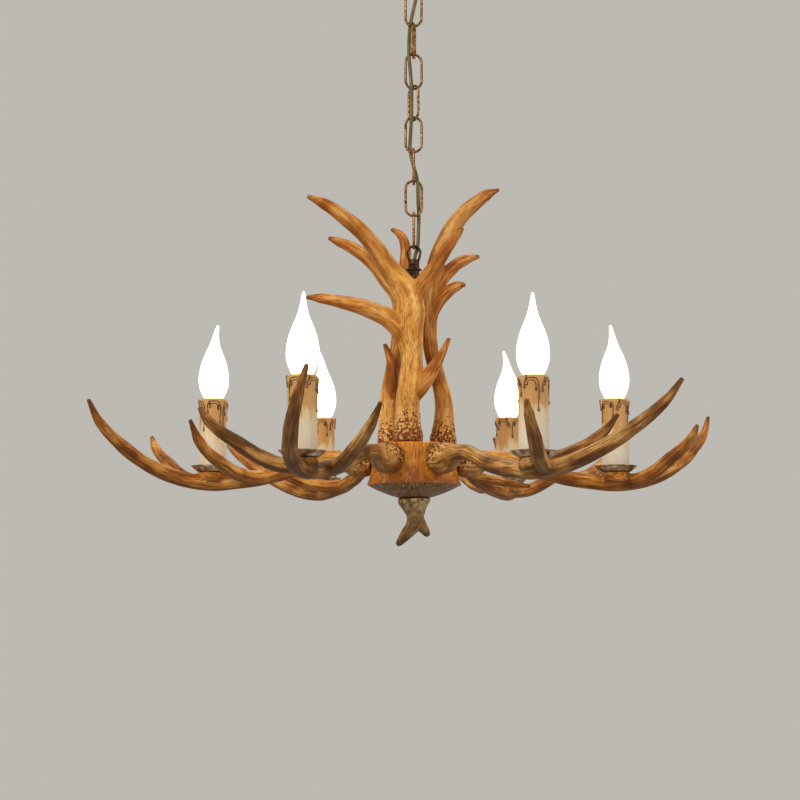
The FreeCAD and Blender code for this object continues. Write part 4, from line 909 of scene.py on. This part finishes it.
def drip_line(points):
    """One line of painted drip shade laid on the sleeve: points are (turn in degrees, below the lip, radius).
    """
    places = []
    for turn, below, radius in points:
        out = DRIP_SHADE_OUT if below > LIP_DEPTH else DRIP_SHADE_OUT_ON_LIP
        places.append((LAMP_RING + out * math.cos(math.radians(turn)), out * math.sin(math.radians(turn)),
                       SLEEVE_TOP - below, radius))
    run = smooth_curve(places)
    run.data.resolution_u = 10
    thicken(run, 3)
    bpy.ops.object.shade_smooth()
    return run


def drip_side(middle, reach, rise, thickness, length, tear):
    """One side of a drip's outline, from the tear at its end up to the arch under the lip."""
    return [(middle + reach, length, tear), (middle + reach, length - 2.5, TEAR_NECK),
            (middle + reach, length - 6, thickness * 0.8), (middle + reach * 0.98, rise + 5, thickness),
            (middle + reach * 0.72, rise + 1.2, thickness)]


sleeve = turn_piece("sleeve_plain", [
    (13.4, SLEEVE_FOOT), (15.9, SLEEVE_FOOT), (15.9, SLEEVE_FOOT + 20), (15.7, SLEEVE_TOP - 30),
    (15.6, SLEEVE_TOP - 11), (15.9, SLEEVE_TOP - 9), (16.3, SLEEVE_TOP - 7.5), (16.4, SLEEVE_TOP - 3),
    (16.3, SLEEVE_TOP - 1), (15.7, SLEEVE_TOP), (14, SLEEVE_TOP), (13.4, SLEEVE_TOP - 0.6)], 80,
    (LAMP_RING, 0), hollow=True)
sleeve.data.materials.append(candle_resin())
# How far below the lip each drip's left and right run ends. Every drip has an outer and an
# inner outline: (reach in degrees, top, thickness, share of the run, radius of its tear).
RUN_LENGTHS = [(18, 30), (46, 24), (16, 13), (27, 22), (14, 38)]
DRIP_OUTLINES = [(27, 3.2, 0.62, 1, 1.5), (18, 5.8, 0.5, 0.45, 0.7)]
runs = []
for number, (left_run, right_run) in enumerate(RUN_LENGTHS):
    middle = 360 * number / len(RUN_LENGTHS)
    for reach, rise, thickness, share, tear in DRIP_OUTLINES:
        left = drip_side(middle, -reach, rise, thickness, left_run * share, tear)
        right = drip_side(middle, reach, rise, thickness, right_run * share, tear)
        runs.append(drip_line(left + [(middle, rise, thickness)] + right[::-1]))
# The drips' painted shade: dark brown lines round each drip, joined into one piece.
drip_shade = join_pieces("drip_shade_plain", runs)
drip_shade.data.materials.append(drip_edge_shade())
for number, (angle, spin) in enumerate(zip(ARM_ANGLES, SLEEVE_SPINS), start=1):
    about_candle = (Matrix.Translation((LAMP_RING * MM, 0, 0)) @ Matrix.Rotation(math.radians(spin), 4, "Z")
                    @ Matrix.Translation((-LAMP_RING * MM, 0, 0)))
    finish_piece(turned_copy(sleeve, f"sleeve_{number}", angle), "fixture", "candle_resin",
                 f"candle_sleeve_{number}")
    drips = turned_copy(drip_shade, f"sleeve_drip_shade_{number}", 0)
    drips.data.transform(about_candle)
    drips.data.transform(Matrix.Rotation(math.radians(angle), 4, "Z"))
    finish_piece(drips, "fixture", "candle_resin")
bpy.data.objects.remove(sleeve)
bpy.data.objects.remove(drip_shade)

# ---------------------------------------------------------------- lamp holders
# Black moulded sockets inside the sleeves, seen only as a dark ring round each bulb's foot.


def black_phenolic():
    """Moulded phenolic: near black, satin, with the fine speckle of its filler."""
    return mottled("black_phenolic", 0.8, 2, "#141210", "#292521", 0.4)


phenolic = black_phenolic()
for number in range(1, 7):
    dress(f"lamp_holder_{number}", phenolic)

# ---------------------------------------------------------------- flame bulbs
# Frosted glass blown as a flame, its drawn tip bent aside, on a small brass screw cap. They
# are lit, so the glass glows a warm white.
CAP_TOP = SLEEVE_TOP - 4
GLASS_TOP = top_of("bulb_5")
FLAME_RADIUS = 17.4
FLAME = [(0, 0.45), (0.05, 0.6), (0.1, 0.75), (0.16, 0.88), (0.22, 0.97), (0.28, 1), (0.36, 0.99),
         (0.44, 0.92), (0.51, 0.83), (0.58, 0.7), (0.64, 0.57), (0.7, 0.43), (0.76, 0.32), (0.81, 0.25),
         (0.86, 0.195), (0.91, 0.15), (0.96, 0.11), (1, 0.05)]
BEND_START = 0.62
TIP_BENDS = [(-3.5, 0), (-5, 1), (-4.5, 2), (4, 1), (0.5, -1), (0.5, 1)]
GLOW_REACH = 16


def lit_frosted_glass():
    """Glass etched inside and lit by its filament: an even warm white glow, yellower at its foot."""
    material = new_material("lit_frosted_glass")
    level = add_node(material, "SeparateXYZ", {"Vector": object_place(material)}).outputs["Z"]
    rise = spread(material, level, SLEEVE_TOP * MM, (SLEEVE_TOP + GLOW_REACH) * MM)
    edge = add_node(material, "LayerWeight", {"Blend": 0.3}).outputs["Facing"]
    return shade(material, {
        "Emission Color": ramp(material, rise, (0, "#FFC078"), (0.6, "#FFDDAE"), (1, "#FFE2B8")),
        "Emission Strength": spread(material, edge, 0.25, 0.8, 5, 1.4),
        "Base Color": linear("#FFF9EE"), "Roughness": 0.35})


def cap_brass():
    """Rolled brass of a screw cap: bright, with a fine brushed grain."""
    material = new_material("cap_brass")
    brushed = cloudy(material, object_place(material), 1.5, 2)
    return shade(material, {"Base Color": linear("#D8B26A"), "Metallic": 1,
                            "Roughness": spread(material, brushed, 0, 1, 0.25, 0.45)})


glass_paint = lit_frosted_glass()
brass_cap = cap_brass()
glass_height = GLASS_TOP - CAP_TOP
cap_foot = foot_of("bulb_1")
flame_outline = [(FLAME_RADIUS * width, CAP_TOP + share * glass_height) for share, width in FLAME]
cap_ridges = [(6.7 if k % 2 else 6.2, cap_foot + 6 + 1.4 * k) for k in range(12)]
cap_outline = [(2, cap_foot), (2.4, cap_foot + 0.6), (5, cap_foot + 3.2), (6.2, cap_foot + 5),
               *cap_ridges, (6.7, CAP_TOP)]
for number, (angle, bend) in enumerate(zip(ARM_ANGLES, TIP_BENDS), start=1):
    x = LAMP_RING * math.cos(math.radians(angle))
    y = LAMP_RING * math.sin(math.radians(angle))
    flame = turn_piece(f"flame_{number}", flame_outline, 48, (x, y))
    for vertex in flame.data.vertices:
        share = (vertex.co.z / MM - CAP_TOP) / glass_height
        lean = max(0, (share - BEND_START) / (1 - BEND_START)) ** 2
        vertex.co += Vector((*bend, 0)) * lean * MM
    bpy.ops.object.shade_smooth()
    flame.data.materials.append(glass_paint)
    cap = turn_piece(f"cap_{number}", cap_outline, 24, (x, y))
    cap.data.materials.append(brass_cap)
    bulb = join_pieces(f"flame_bulb_{number}", [flame, cap])
    finish_piece(bulb, f"bulb_{number}", "frosted_glass", f"bulb_{number}")

# ---------------------------------------------------------------- wiring inside the hub
# The terminal block on the bowl's floor and the six lamp leads: white nylon and black PVC.
# The closed drum hides them, and they keep the CAD pieces' shapes.


def plain_plastic(name, dark, light, roughness):
    """Moulded or extruded plastic of wiring parts: even, with faint handling marks."""
    return mottled(name, 4, 2, dark, light, roughness)


dress("terminal_block", plain_plastic("terminal_nylon", "#DAD6CA", "#EDEAE0", 0.45))
dress("lamp_leads", plain_plastic("lead_pvc", "#1B1815", "#312C27", 0.5))

# ---------------------------------------------------------------- close
bpy.context.view_layer.update()
